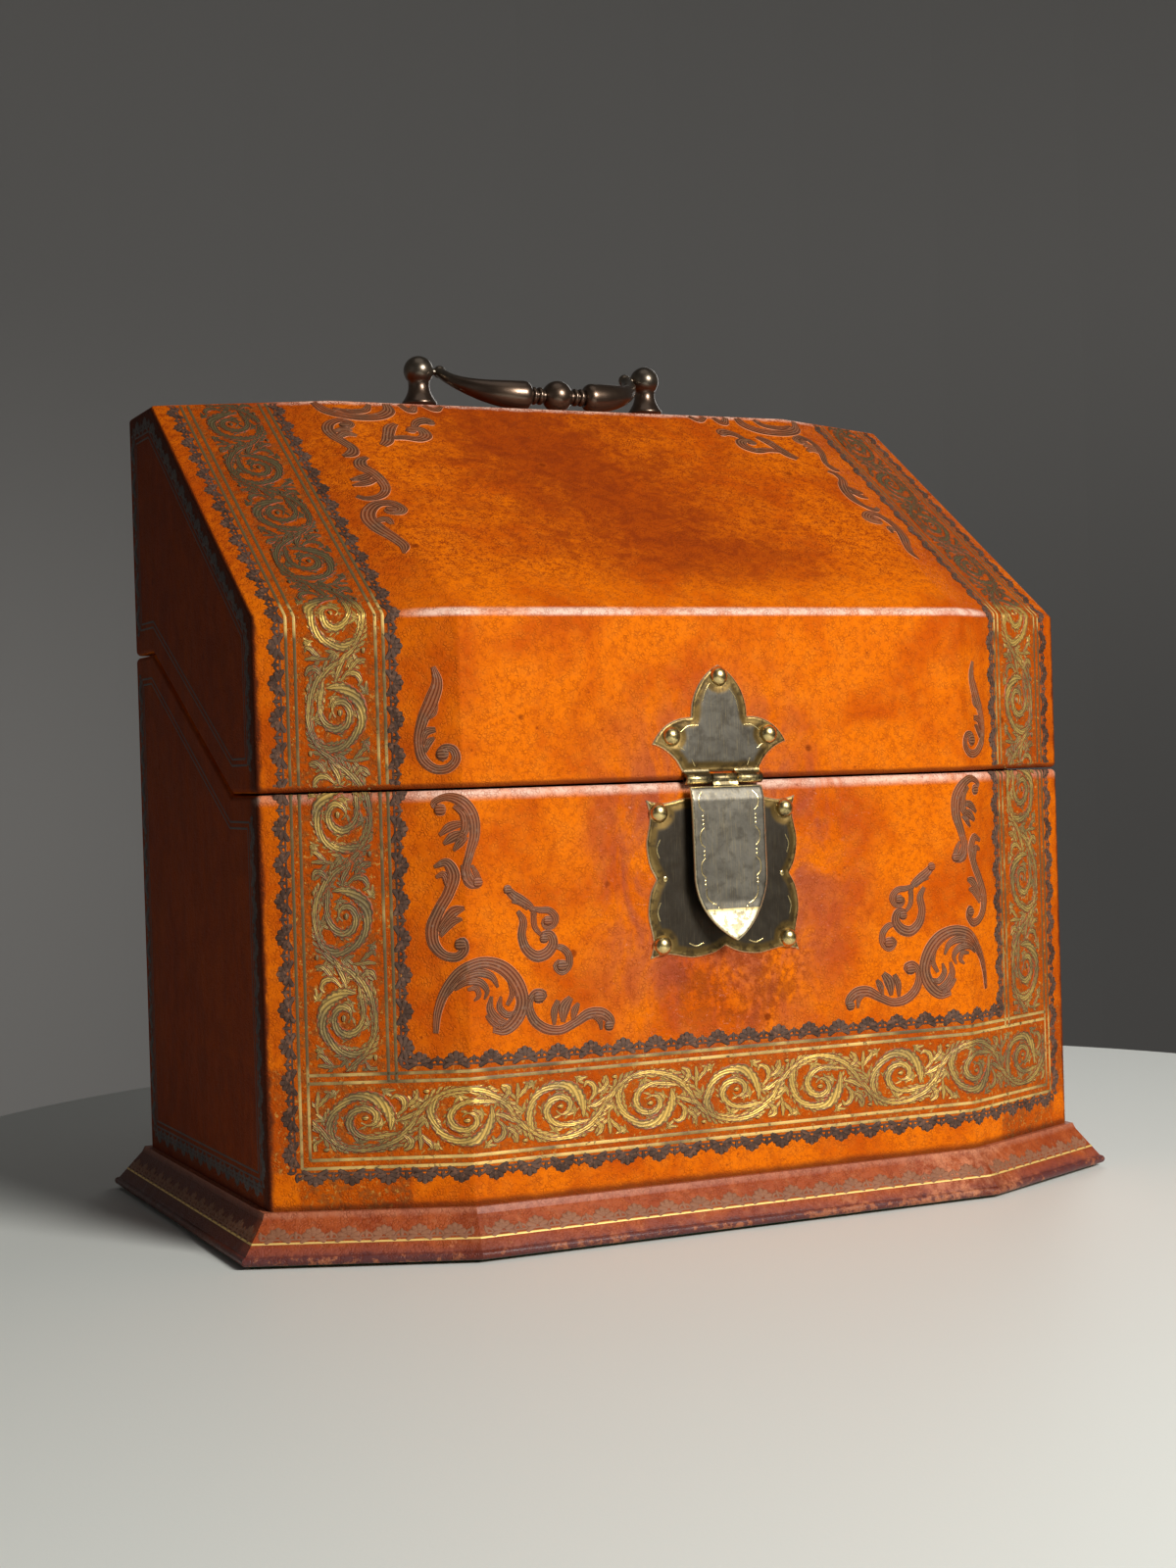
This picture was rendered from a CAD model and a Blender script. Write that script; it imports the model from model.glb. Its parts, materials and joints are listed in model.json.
import json
import math
import random

import bmesh
import bpy
import numpy as np
from bpy.props import FloatProperty, FloatVectorProperty, PointerProperty
from mathutils import Matrix, Vector
from mathutils.geometry import delaunay_2d_cdt


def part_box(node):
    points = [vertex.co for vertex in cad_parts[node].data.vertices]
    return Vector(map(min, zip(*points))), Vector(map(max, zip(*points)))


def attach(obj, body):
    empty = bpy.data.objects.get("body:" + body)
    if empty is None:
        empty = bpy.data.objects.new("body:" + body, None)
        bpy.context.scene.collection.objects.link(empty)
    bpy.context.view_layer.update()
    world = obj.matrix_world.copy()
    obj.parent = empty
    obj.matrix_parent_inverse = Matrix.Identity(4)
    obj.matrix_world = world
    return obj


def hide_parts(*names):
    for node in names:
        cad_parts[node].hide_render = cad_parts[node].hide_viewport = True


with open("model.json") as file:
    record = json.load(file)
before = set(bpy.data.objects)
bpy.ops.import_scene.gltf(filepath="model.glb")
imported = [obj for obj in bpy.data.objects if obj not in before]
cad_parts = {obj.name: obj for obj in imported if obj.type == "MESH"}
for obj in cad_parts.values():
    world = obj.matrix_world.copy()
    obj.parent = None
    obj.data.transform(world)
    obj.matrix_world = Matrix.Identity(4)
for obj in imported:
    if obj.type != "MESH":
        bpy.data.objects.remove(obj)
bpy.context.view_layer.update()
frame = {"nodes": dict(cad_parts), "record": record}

bl_info = {
    "name": "Letter box",
    "version": (1, 0, 0),
    "blender": (4, 5, 0),
    "location": "3D View > Sidebar > Letter box",
    "description": "Dresses a slope-fronted letter box in tooled leather, brass and bronze",
    "category": "Object",
}

MM = 0.001


def frame_box(node):
    """The low and the high corner of a node of the frame, in millimetres."""
    return [[round(v / MM, 4) for v in corner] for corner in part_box(node)]


# The case, in millimetres. Its front is folded from one sheet: u runs along the plan of the front from
# its middle, round the two wings, and s runs up the front and then up the slope.
(_, FRONT_Y, SHELF_Z), (SIDE_X, BACK_Y, _) = frame_box("body_cover")
TOP_Z = frame_box("lid_cover")[1][2]
FACET = 92.0
CORNER_Y = -61.0
WING_TURN = math.radians(24.5)
SEAM_Z = 144.7
SEAM_GAP = 0.7
FOLD_Z = 199.5
SLOPE_RUN = 116.5
SLOPE_RISE = 83.2
SLOPE = math.hypot(SLOPE_RUN, SLOPE_RISE)
EDGE_ROUND = 1.8
FOLD_EASE = 0.93
CREASE_EASE = 0.39
BODY_TOP = SEAM_Z - 0.3
LID_FOOT = SEAM_Z + SEAM_GAP + 0.3
SLOPE_END = FOLD_Z + SLOPE - 0.9


# Settings

def share(name, description, default):
    return FloatProperty(name=name, description=description, default=default, min=0.0, max=1.0,
                         subtype="FACTOR")


def length(name, description, default):
    return FloatProperty(name=name, description=description, default=default, min=0.0, unit="LENGTH",
                         subtype="DISTANCE", precision=4)


def power(name, description, default):
    return FloatProperty(name=name, description=description, default=default, min=0.0, unit="POWER")


def colour(name, description, default):
    return FloatVectorProperty(name=name, description=description, default=default, size=3, min=0.0,
                               max=1.0, subtype="COLOR")


class LeatherSettings(bpy.types.PropertyGroup):
    bright: colour("Bright leather", "Colour of the leather where it is least worn", (0.76, 0.164, 0.002))
    deep: colour("Deep leather", "Colour of the leather where it has darkened", (0.53, 0.082, 0.002))
    stain: colour("Stain", "Colour of the red-brown stains", (0.24, 0.032, 0.004))
    dark: colour("Handled edge", "Colour of the blackened corners", (0.055, 0.016, 0.008))
    plinth: colour("Plinth leather", "Colour of the leather on the plinth", (0.40, 0.084, 0.018))
    pore: length("Pore spacing", "Distance between the pores of the grain", 0.00125)
    roughness: share("Roughness", "How dull the leather is", 0.46)


class ToolingSettings(bpy.types.PropertyGroup):
    gold: colour("Bright gold", "Colour of the gold leaf where it is whole", (0.84, 0.53, 0.12))
    dull_gold: colour("Dull gold", "Colour of the gold leaf where it has darkened", (0.27, 0.185, 0.060))
    blind: colour("Blind tooling", "Colour of the leather pressed by a hot tool", (0.150, 0.058, 0.026))
    lace: colour("Lace edging", "Colour of the dark palmette edging", (0.052, 0.023, 0.013))
    scroll_pitch: length("Scroll pitch", "Length of one scroll of the band", 0.0306)
    palmette_pitch: length("Palmette pitch", "Length of one palmette of the edging", 0.0114)


class MetalSettings(bpy.types.PropertyGroup):
    brass: colour("Brass", "Colour of the bright brass", (0.78, 0.60, 0.26))
    tarnish: colour("Tarnish", "Colour of the darkened brass", (0.055, 0.046, 0.034))
    bronze: colour("Bronze", "Colour of the dark bronze of the handle", (0.150, 0.122, 0.092))
    steel: colour("Steel", "Colour of the screws and nuts", (0.36, 0.34, 0.31))


class InsideSettings(bpy.types.PropertyGroup):
    rack: colour("Rack wood", "Colour of the letter rack", (0.23, 0.085, 0.035))
    board: colour("Case wood", "Colour of the boards under the leather", (0.46, 0.29, 0.15))
    paper: colour("Lining paper", "Colour of the lining", (0.56, 0.46, 0.31))
    felt: colour("Felt", "Colour of the felt underneath", (0.03, 0.085, 0.04))


class StageSettings(bpy.types.PropertyGroup):
    floor: colour("Table", "Colour of the table top", (0.745, 0.775, 0.735))
    wall: colour("Wall", "Colour of the wall behind", (0.42, 0.413, 0.40))
    key: power("Key light", "Power of the large light at the front right", 21.0)
    fill: power("Overhead light", "Power of the soft light overhead", 0.8)
    side: power("Side light", "Power of the weak light at the left", 0.16)
    back: power("Back light", "Power of the weak light behind", 2.4)


class LetterBoxSettings(bpy.types.PropertyGroup):
    leather: PointerProperty(type=LeatherSettings)
    tooling: PointerProperty(type=ToolingSettings)
    metal: PointerProperty(type=MetalSettings)
    inside: PointerProperty(type=InsideSettings)
    stage: PointerProperty(type=StageSettings)


def settings():
    return bpy.context.scene.letter_box


def shades(group, *names):
    """Colours from one group of the settings."""
    return [tuple(getattr(getattr(settings(), group), name)) for name in names]


# Finishes

class Socket:
    """An output of a material's node. Sums on it add the nodes that work them out."""

    def __init__(self, finish, plug):
        self.finish, self.plug = finish, plug

    def sum(self, operation, *values):
        return self.finish.node("ShaderNodeMath", {"operation": operation}, dict(enumerate(values)))

    def __add__(self, other):
        return self.sum("ADD", self, other)

    def __sub__(self, other):
        return self.sum("SUBTRACT", self, other)

    def __rsub__(self, other):
        return self.sum("SUBTRACT", other, self)

    def __mul__(self, other):
        return self.sum("MULTIPLY", self, other)

    def __truediv__(self, other):
        return self.sum("DIVIDE", self, other)

    def __abs__(self):
        return self.sum("ABSOLUTE", self)

    __radd__ = __add__
    __rmul__ = __mul__

    def least(self, other):
        return self.sum("MINIMUM", self, other)

    def most(self, other):
        return self.sum("MAXIMUM", self, other)

    def ripple(self):
        """A wave between 0 and 1 that comes back once for every whole number."""
        return self.sum("SINE", self * math.tau) * 0.5 + 0.5

    def rise(self, start, end):
        """0 before start and 1 after end, smoothly. With start above end it falls instead."""
        if start > end:
            return 1.0 - self.rise(end, start)
        return self.finish.node("ShaderNodeMapRange", {"interpolation_type": "SMOOTHSTEP"},
                                {"Value": self, "From Min": start, "From Max": end})


    def span(self, start, full, last, end):
        """Rises from start to full, stays at 1, and falls from last to end."""
        return self.rise(start, full) * self.rise(end, last)


class Finish:
    """A material made of nodes. Its tone is the colour laid on it so far."""

    def __init__(self, name):
        self.material = bpy.data.materials.new(name)
        self.material.use_nodes = True
        self.tree = self.material.node_tree
        self.shader = self.tree.nodes["Principled BSDF"]

    def node(self, kind, options=None, plugs=None, out=0):
        made = self.tree.nodes.new(kind)
        for key, value in (options or {}).items():
            setattr(made, key, value)
        for key, value in (plugs or {}).items():
            if isinstance(value, Socket):
                self.tree.links.new(value.plug, made.inputs[key])
            else:
                made.inputs[key].default_value = value
        return Socket(self, made.outputs[out])

    def across(self):
        """The share of the way across a stroke, and the millimetres along it."""
        return self.parts(self.node("ShaderNodeUVMap", {"uv_map": "tooling"}))[:2]

    def parts(self, vector):
        split = self.node("ShaderNodeSeparateXYZ", plugs={0: vector}).plug.node
        return [Socket(self, out) for out in split.outputs]

    def joined(self, x, y, z):
        return self.node("ShaderNodeCombineXYZ", plugs={0: x, 1: y, 2: z})

    def stretched(self, vector, scale):
        return self.node("ShaderNodeVectorMath", {"operation": "MULTIPLY"}, {0: vector, 1: scale})

    def distance(self, vector, spot):
        return self.node("ShaderNodeVectorMath", {"operation": "DISTANCE"}, {0: vector, 1: spot}, out=1)

    def noise(self, vector, spacing, detail=2.0, rough=0.5, twist=0.0, out=0):
        """Smooth noise whose lumps are about spacing metres apart."""
        plugs = {"Vector": vector, "Scale": 1.0 / spacing, "Detail": detail, "Roughness": rough,
                 "Distortion": twist}
        return self.node("ShaderNodeTexNoise", None, plugs, out)

    def cells(self, vector, spacing, feature="F1"):
        plugs = {"Vector": vector, "Scale": 1.0 / spacing}
        return self.node("ShaderNodeTexVoronoi", {"feature": feature}, plugs)

    def mix(self, share, low, high):
        low, high = [(*c, 1.0) if isinstance(c, tuple) else c for c in (low, high)]
        return self.node("ShaderNodeMix", {"data_type": "RGBA"}, {0: share, 6: low, 7: high}, out=2)

    def start(self, share, low, high):
        """Lays the first tone, a mix of two colours."""
        self.tone = self.mix(share, low, high)

    def over(self, share, shade):
        """Lays a share of another colour over the tone."""
        self.tone = self.mix(share, self.tone, shade)

    def bump(self, height, distance, strength=1.0, under=None):
        plugs = {"Height": height, "Distance": distance, "Strength": strength}
        if under:
            plugs["Normal"] = under
        return self.node("ShaderNodeBump", None, plugs)

    def set(self, **plugs):
        """Plugs in the tone and whatever else is given, and gives back the material."""
        for key, value in {"Base_Color": self.tone, **plugs}.items():
            plug = self.shader.inputs[key.replace("_", " ")]
            if isinstance(value, Socket):
                self.tree.links.new(value.plug, plug)
            else:
                plug.default_value = value
        return self.material


def started(name):
    """A new finish, and the place in the frame of each point it is seen at."""
    f = Finish(name)
    return f, f.node("ShaderNodeTexCoord", out=3)


def dimmed(shade, by):
    """A colour at a share of its brightness."""
    return tuple(c * by for c in shade)


def toned(shade, other, by):
    """A colour moved a share of the way to another."""
    return tuple(a + (b - a) * by for a, b in zip(shade, other))


def grain(f, p):
    """Height of the pebbled grain, and how deep in a crease between its pebbles each spot is."""
    pore = settings().leather.pore
    wander = f.stretched(f.noise(p, 1.0 / 700.0, out=1), (0.0009, 0.0009, 0.0009))
    bent = f.node("ShaderNodeVectorMath", {"operation": "ADD"}, {0: p, 1: wander})
    crease = f.cells(bent, pore * 0.85, "DISTANCE_TO_EDGE").rise(0.24, 0.03)
    patchy = f.noise(p, pore * 1.8, 3.0, 0.65)
    creases = crease * patchy.rise(0.36, 0.66)
    wrinkles = f.noise(p, pore * 0.55, 2.0, 0.6)
    return 1.0 - creases * 0.8 + wrinkles * 0.6, (creases + wrinkles.rise(0.44, 0.30) * 0.5).least(1.0)


def leather_finish():
    """The leather of the body and the lid. Each function that it calls adds one kind of age."""
    f, p = started("tooled_leather")
    f.bright, f.deep, f.stain, f.dark = shades("leather", "bright", "deep", "stain", "dark")
    f.x, f.y, f.z = f.parts(p)
    f.wide = abs(f.x)
    height, creases = grain(f, p)
    f.clouds = f.noise(p, 0.030, 3.0, 0.55, 0.4)
    f.smears = f.noise(f.stretched(p, (1.0, 1.0, 0.55)), 0.016, 5.0, 0.62, 1.2)
    f.fine = f.noise(p, 0.0045, 4.0, 0.6)
    f.ragged = (f.fine - 0.5) * 0.004 + (f.clouds - 0.5) * 0.003
    f.start(f.clouds.rise(0.32, 0.62), f.deep, f.bright)
    f.over(f.fine.rise(0.42, 0.74) * 0.30, toned(f.bright, (0.86, 0.30, 0.03), 0.5))
    f.over(f.smears.rise(0.52, 0.80) * 0.55, toned(f.deep, f.stain, 0.55))
    slope = darkened_slope(f, p)
    reddened_bands(f, p)
    worn_round_hasp(f, p)
    worn = blackened_corners(f, slope)
    flank = darkened_flanks(f, p)
    rub = rubbed_edges(f)
    f.over(f.cells(p, 0.023).rise(0.075, 0.035) * 0.75, dimmed(f.stain, 0.6))
    f.over(f.cells(p, 0.0062).rise(0.10, 0.05) * 0.5, dimmed(f.stain, 0.9))
    pressed = creases * (0.26 + f.clouds * 0.38 + slope * 0.50) * (1.0 - flank * 0.8)
    f.over(pressed, toned(f.deep, f.stain, 0.80))
    normal = f.bump(f.noise(p, 0.026, 2.0, 0.5), 0.0016, 0.55)
    normal = f.bump(height, 0.00022, 0.8, normal)
    rough = settings().leather.roughness - rub * 0.12 + f.fine * 0.14 + worn * 0.1 - f.smears * 0.06
    return f.set(Roughness=rough, Normal=normal, Specular_IOR_Level=0.02, Coat_Weight=0.018,
                 Coat_Roughness=0.2)


def darkened_slope(f, p):
    """Grime on the slope, most of all in a streak down its middle. Gives back where the slope is."""
    slope = f.z.rise(0.203, 0.222) * (f.y * -1.0 + f.z).rise(0.140, 0.150)
    streak = f.x * 0.9 + f.z * 0.5 - 0.115 + (f.smears - 0.5) * 0.09
    streak = 1.0 - abs(streak).rise(0.0, 0.060)
    grimed = f.noise(p, 0.0075, 4.0, 0.65, 0.8).rise(0.44, 0.62)
    f.over(slope * (0.10 + streak * 0.84), toned(f.deep, f.stain, 0.66))
    f.over(slope * (0.20 + streak * 0.80) * grimed * 0.78, toned(f.stain, f.dark, 0.12))
    dirt = f.noise(p, 0.0015, 3.0, 0.65).rise(0.50, 0.64)
    f.over(dirt * (0.18 + slope * 0.34), toned(f.stain, f.deep, 0.35))
    return slope


def reddened_bands(f, p):
    """The ground of the gold bands is redder, with traces of gold, and the leather beside it is darker."""
    bands = f.wide.span(0.1085, 0.1105, 0.1405, 0.1425)
    ahead = f.y.rise(0.060, 0.052)
    ground = bands.most(f.z.span(0.0265, 0.0285, 0.0585, 0.0605)) * ahead * f.z.rise(0.2822, 0.2812)
    beside = f.wide.rise(0.080, 0.112) * ahead * f.z.rise(0.0282, 0.0400)
    f.over(beside * (f.smears.rise(0.35, 0.70) * 0.55 + 0.12), toned(f.deep, f.stain, 0.5))
    f.over(ground * (0.38 + f.fine * 0.50), toned(f.deep, f.stain, 0.55))
    chased = f.cells(p, 0.0016).rise(0.30, 0.52) * f.noise(p, 0.0040, 2.0).rise(0.42, 0.58)
    f.over(ground * chased * (0.36 + bands * 0.22), toned((0.15, 0.085, 0.022), f.stain, 0.25))
    flecks = f.noise(p, 0.0014, 3.0, 0.7).rise(0.58, 0.66)
    f.over(ground * flecks * (f.z.rise(0.215, 0.190) * 0.5 + 0.2), (0.52, 0.29, 0.06))


def worn_round_hasp(f, p):
    """Grime, a stain and pale scratches round the hasp."""
    ahead = f.y.rise(-0.080, -0.086)
    near = f.distance(f.stretched(p, (1.0, 1.0, 0.8)), (-0.002, FRONT_Y * MM, 0.092))
    grime = near.rise(0.064, 0.026) * f.smears.rise(0.36, 0.60) * ahead
    f.over(grime * 0.60, toned(f.stain, (0.24, 0.07, 0.065), 0.7))
    below = f.distance(f.stretched(p, (0.75, 1.0, 1.2)), (0.002, FRONT_Y * MM, 0.097))
    f.over(below.rise(0.026, 0.012) * f.fine.rise(0.40, 0.60) * ahead * 0.55, toned(f.stain, f.dark, 0.3))
    scratch = f.noise(f.stretched(p, (1.0, 1.0, 2.2)), 0.0021, 5.0, 0.75, 1.5).rise(0.60, 0.70)
    scuffed = (near + (f.clouds - 0.5) * 0.06).rise(0.062, 0.034) * f.z.rise(0.150, 0.138) * ahead
    f.over(scratch * scuffed * 0.62, (0.74, 0.30, 0.21))


def blackened_corners(f, slope):
    """Black up the four upright edges and along the foot."""
    front = f.distance(f.joined(f.wide, f.y, 0.0), (SIDE_X * MM, CORNER_Y * MM, 0.0))
    rear = f.distance(f.joined(f.wide, f.y, 0.0), (SIDE_X * MM, BACK_Y * MM, 0.0))
    worn = (front + f.ragged * 0.8).rise(0.0023, 0.0006) * (0.9 - slope * 0.5)
    worn = worn.most((rear + f.ragged).rise(0.005, 0.001) * 0.8)
    worn = worn.most((f.z + f.ragged * 0.5).rise(0.0185, 0.0162) * 0.75)
    f.over(worn, f.dark)
    return worn


def darkened_flanks(f, p):
    """The sides and the back have kept more wax, and are blackened along their borders."""
    flank = f.wide.rise(0.1490, 0.1497).most(f.y.rise(0.0868, 0.0873))
    upright = f.noise(f.stretched(p, (1.0, 1.0, 0.55)), 0.0080, 5.0, 0.68, 0.6)
    waxed = f.mix(upright.rise(0.38, 0.66) * 0.6, toned(f.stain, f.dark, 0.30), toned(f.deep, f.stain, 0.75))
    f.over(flank * 0.92, waxed)
    behind = f.y - CORNER_Y * MM
    under = (behind * SLOPE_RISE - (f.z - FOLD_Z * MM) * SLOPE_RUN) / SLOPE
    border = behind.rise(0.0095, 0.0035).most(under.rise(0.0120, 0.0040)).most(f.z.rise(0.2700, 0.2780))
    border = border.most((f.z - SHELF_Z * MM).rise(0.0130, 0.0060) * 0.45)
    f.over(flank * border * 0.72, toned(f.dark, (0.02, 0.010, 0.008), 0.5))
    return flank


def rubbed_edges(f):
    """Pale leather along the seam, the fold and the top's front edge, and a dark hem above the seam."""
    ahead = f.y.rise(-0.055, -0.060)
    hem = f.z.rise(0.1449, 0.1451) * (f.z + f.ragged * 0.2).rise(0.1472, 0.1460) * ahead
    f.over(hem * 0.70, toned(f.dark, f.stain, 0.25))
    seam = f.z.span(0.1405, 0.1432, 0.1449, 0.1451) * ahead * (f.wide.rise(0.112, 0.100) * 0.7 + 0.3)
    fold = f.z.span(0.1978, 0.1990, 0.2002, 0.2014) * f.y.rise(-0.078, -0.084)
    top = (f.z + (f.fine - 0.5) * 0.002).rise(0.2808, 0.2822) * f.y.rise(0.040, 0.030) * 0.7
    rub = (seam * 0.85).most(fold * 0.92).most(top) * (0.35 + f.smears.rise(0.30, 0.60) * 0.65)
    f.over(rub, (0.90, 0.63, 0.50))
    return rub


def plinth_finish():
    """The leather of the moulding: red where it is kept, blackened at the bead, rubbed along the edges."""
    plain, dark, stain = shades("leather", "plinth", "dark", "stain")
    f, p = started("plinth_leather")
    x, y, z = f.parts(p)
    height, creases = grain(f, p)
    clouds = f.noise(p, 0.018, 4.0, 0.6, 0.6)
    fine = f.noise(p, 0.0032, 4.0, 0.65)
    f.start(clouds.rise(0.36, 0.64), toned(plain, stain, 0.75), plain)
    f.over(fine.rise(0.52, 0.75) * 0.35, toned(plain, (0.56, 0.27, 0.13), 0.6))
    f.over(clouds.rise(0.56, 0.72) * 0.45, toned(stain, dark, 0.35))
    lower = (z + (clouds - 0.5) * 0.006).rise(0.0070, 0.0045)
    f.over(lower * 0.45, toned(stain, (0.20, 0.09, 0.09), 0.6))
    foot = (z + (fine - 0.5) * 0.003 + (clouds - 0.5) * 0.003).rise(0.0048, 0.0030)
    f.over(foot * 0.85, (0.075, 0.030, 0.034))
    chips = (fine * 0.5 + clouds * 0.5 + foot * 0.06).rise(0.56, 0.61) * z.rise(0.0085, 0.0050)
    f.over(chips * 0.6, (0.50, 0.17, 0.07))
    lip = (z + (fine - 0.5) * 0.002).rise(0.0134, 0.0150)
    f.over(lip * 0.25, toned(plain, (0.80, 0.50, 0.36), 0.5))
    patch = f.distance(p, (0.085, -0.093, 0.008))
    f.over(patch.rise(0.032, 0.010) * fine.rise(0.35, 0.6) * 0.55, (0.66, 0.26, 0.13))
    mitre = f.distance(f.joined(abs(x), y, 0.0), (0.0945, -0.0970, 0.0))
    f.over((mitre + (fine - 0.5) * 0.02).rise(0.014, 0.003) * 0.5, dimmed(stain, 0.55))
    f.over(creases * 0.42, dimmed(stain, 0.7))
    flank = abs(x).rise(0.1515, 0.1530) * y.rise(-0.062, -0.056)
    f.over(flank.most(y.rise(0.088, 0.089)) * 0.86, dimmed(stain, 0.38))
    normal = f.bump(f.noise(p, 0.010, 2.0), 0.0009, 0.6)
    normal = f.bump(height, 0.00020, 0.8, normal)
    return f.set(Roughness=0.44 + fine * 0.25 - foot * 0.14, Normal=normal, Specular_IOR_Level=0.22,
                 Coat_Weight=0.10, Coat_Roughness=0.25)


def gold_finish():
    """Gold leaf pressed into the leather: whole along the foot, darkened up the wings, dark on the slope."""
    gold, dull = shades("tooling", "gold", "dull_gold")
    ground = toned(*shades("leather", "deep", "stain"), 0.5)
    f, p = started("gold_tooling")
    x, _, z = f.parts(p)
    a, along = f.across()
    fine = f.noise(p, 0.0018, 3.0, 0.6)
    blotch = f.noise(p, 0.011, 3.0, 0.6)
    patches = f.noise(p, 0.034, 2.0, 0.5)
    low = z.rise(0.066, 0.052) * (0.30 + abs(x + 0.010).rise(0.130, 0.085) * 0.70)
    fold = z.span(0.184, 0.197, 0.201, 0.206)
    wing = z.rise(0.215, 0.180) * 0.34
    keep = (low * 0.62).most(fold * 0.90).most(wing) + (blotch - 0.5) * 0.9 + (patches - 0.5) * 0.9
    whole = keep.rise(0.05, 0.80)
    # every leaf has slanting veins, and notches along its sides
    vein = (a * 3.4 + along / 5.0).ripple()
    notch = ((along / 1.7).ripple() - 0.5) * 0.11 + (fine - 0.5) * 0.25
    edge = (abs(a - 0.5) + notch).rise(0.20, 0.36)
    gap = (abs(a - 0.5) + notch).rise(0.38, 0.44)
    f.start(whole, dull, gold)
    f.over(blotch.rise(0.58, 0.42) * 0.45 * (1.0 - whole), (0.105, 0.090, 0.050))
    lifted = z.rise(0.200, 0.206) * (1.0 - whole * 0.6)
    f.over(lifted * (0.45 + blotch * 0.5), (0.070, 0.060, 0.026))
    f.over(vein.rise(0.55, 0.10) * (0.80 - whole * 0.30), (0.070, 0.036, 0.012))
    f.over(edge * 0.85, (0.060, 0.027, 0.010))
    f.over(gap * 0.85, ground)
    lost = (fine * 0.6 + blotch * 0.4 + whole * 0.10).rise(0.42, 0.34)
    f.over(lost * 0.80, ground)
    shine = (1.0 - lost) * (0.12 + whole * 0.40) * (1.0 - edge * 0.9)
    normal = f.bump(vein + fine * 0.6, 0.00014, 0.7)
    return f.set(Metallic=shine, Roughness=0.50 - whole * 0.14 + fine * 0.15, Normal=normal)


def ruled_finish():
    """The ruled gold lines: broken leaf between dark sides."""
    gold, dull = shades("tooling", "gold", "dull_gold")
    f, p = started("gold_lines")
    x, _, z = f.parts(p)
    a = f.across()[0]
    fine = f.noise(p, 0.0022, 4.0, 0.65)
    blotch = f.noise(p, 0.015, 3.0, 0.6)
    inner = abs(x).rise(0.1235, 0.1200) * z.rise(0.225, 0.195) * 0.22
    low = z.rise(0.066, 0.052) * 0.46
    moulding = z.rise(0.0125, 0.0115) * 0.75
    fold = z.span(0.190, 0.1975, 0.201, 0.206) * 0.5
    keep = low.most(inner).most(moulding) + fold + (blotch - 0.5) * 1.2 - 0.04
    whole = keep.rise(0.10, 0.62) * (z.rise(0.212, 0.201) * 0.88 + 0.12)
    rest = toned((0.085, 0.052, 0.018), dull, 0.20)
    leaf = whole * (fine + moulding * 0.12).rise(0.32, 0.46)
    f.start(leaf, rest, toned(gold, (0.95, 0.72, 0.34), 0.25))
    f.over(abs(a - 0.5).rise(0.26, 0.44) * 0.80, (0.075, 0.030, 0.010))
    return f.set(Metallic=whole * 0.35, Roughness=0.44 + fine * 0.15, Normal=f.bump(fine, 0.0001, 0.6))


def blind_finish():
    """Leather pressed by a hot tool: grey-brown leaves with dark flutes between burnished lips."""
    (blind,), (bright, deep) = shades("tooling", "blind"), shades("leather", "bright", "deep")
    f, p = started("blind_tooling")
    a = f.across()[0]
    fine = f.noise(p, 0.0016, 3.0, 0.6)
    blotch = f.noise(p, 0.009, 3.0, 0.6)
    rim = abs(a - 0.5)
    flute = (a * 4.0).ripple()
    f.start(blotch.rise(0.34, 0.66), blind, toned(blind, deep, 0.45))
    f.over(flute.rise(0.45, 0.95) * 0.70, toned(blind, (0.38, 0.20, 0.10), 0.50))
    f.over(flute.rise(0.40, 0.05) * 0.80, toned(dimmed(blind, 0.30), (0.07, 0.02, 0.008), 0.4))
    f.over(fine.rise(0.55, 0.70) * 0.35, (0.30, 0.19, 0.13))
    f.over(rim.rise(0.385, 0.425), (0.060, 0.017, 0.007))
    f.over(rim.rise(0.448, 0.470) * 0.85, toned(bright, (0.86, 0.42, 0.24), 0.55))
    normal = f.bump(fine + flute * 0.8, 0.00016, 0.7)
    return f.set(Roughness=0.40 + fine * 0.2, Normal=normal, Specular_IOR_Level=0.22)


def lace_finish(name="lace_tooling", paler=0.0):
    """The palmette edgings: grey-brown lobes with blackened outlines. paler is for the worn plinth."""
    lace, = shades("tooling", "lace")
    f, p = started(name)
    a = f.across()[0]
    fine = f.noise(p, 0.0013, 3.0, 0.6)
    blotch = f.noise(p, 0.012, 3.0, 0.6)
    ridge = abs(a - 0.5).rise(0.20, 0.40)
    body = toned(toned(lace, (0.24, 0.15, 0.11), 0.34), (0.36, 0.15, 0.075), paler)
    f.start(blotch.rise(0.35, 0.66), body, toned(body, dimmed(lace, 0.5), 0.60 - paler * 0.5))
    f.over(ridge * (0.90 - paler * 0.35), toned(dimmed(lace, 0.40), (0.20, 0.06, 0.03), paler))
    f.over(fine.rise(0.52, 0.66) * 0.35, (0.34, 0.15, 0.08))
    return f.set(Roughness=0.40 + fine * 0.25, Normal=f.bump(fine, 0.0001, 0.5), Specular_IOR_Level=0.18)


def border_finish():
    """Blind lines and edgings on the sides and the back, nearly black with a waxy edge."""
    f, p = started("dark_blind_tooling")
    a = f.across()[0]
    fine = f.noise(p, 0.0016, 4.0, 0.65)
    blotch = f.noise(p, 0.010, 3.0, 0.6)
    f.start(blotch.rise(0.35, 0.65), (0.020, 0.010, 0.007), (0.055, 0.026, 0.016))
    f.over(fine.rise(0.54, 0.68) * 0.5, (0.16, 0.09, 0.06))
    f.over(abs(a - 0.5).rise(0.34, 0.46) * 0.5, (0.10, 0.045, 0.028))
    return f.set(Roughness=0.38 + fine * 0.2, Normal=f.bump(fine, 0.0001, 0.6))


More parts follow.
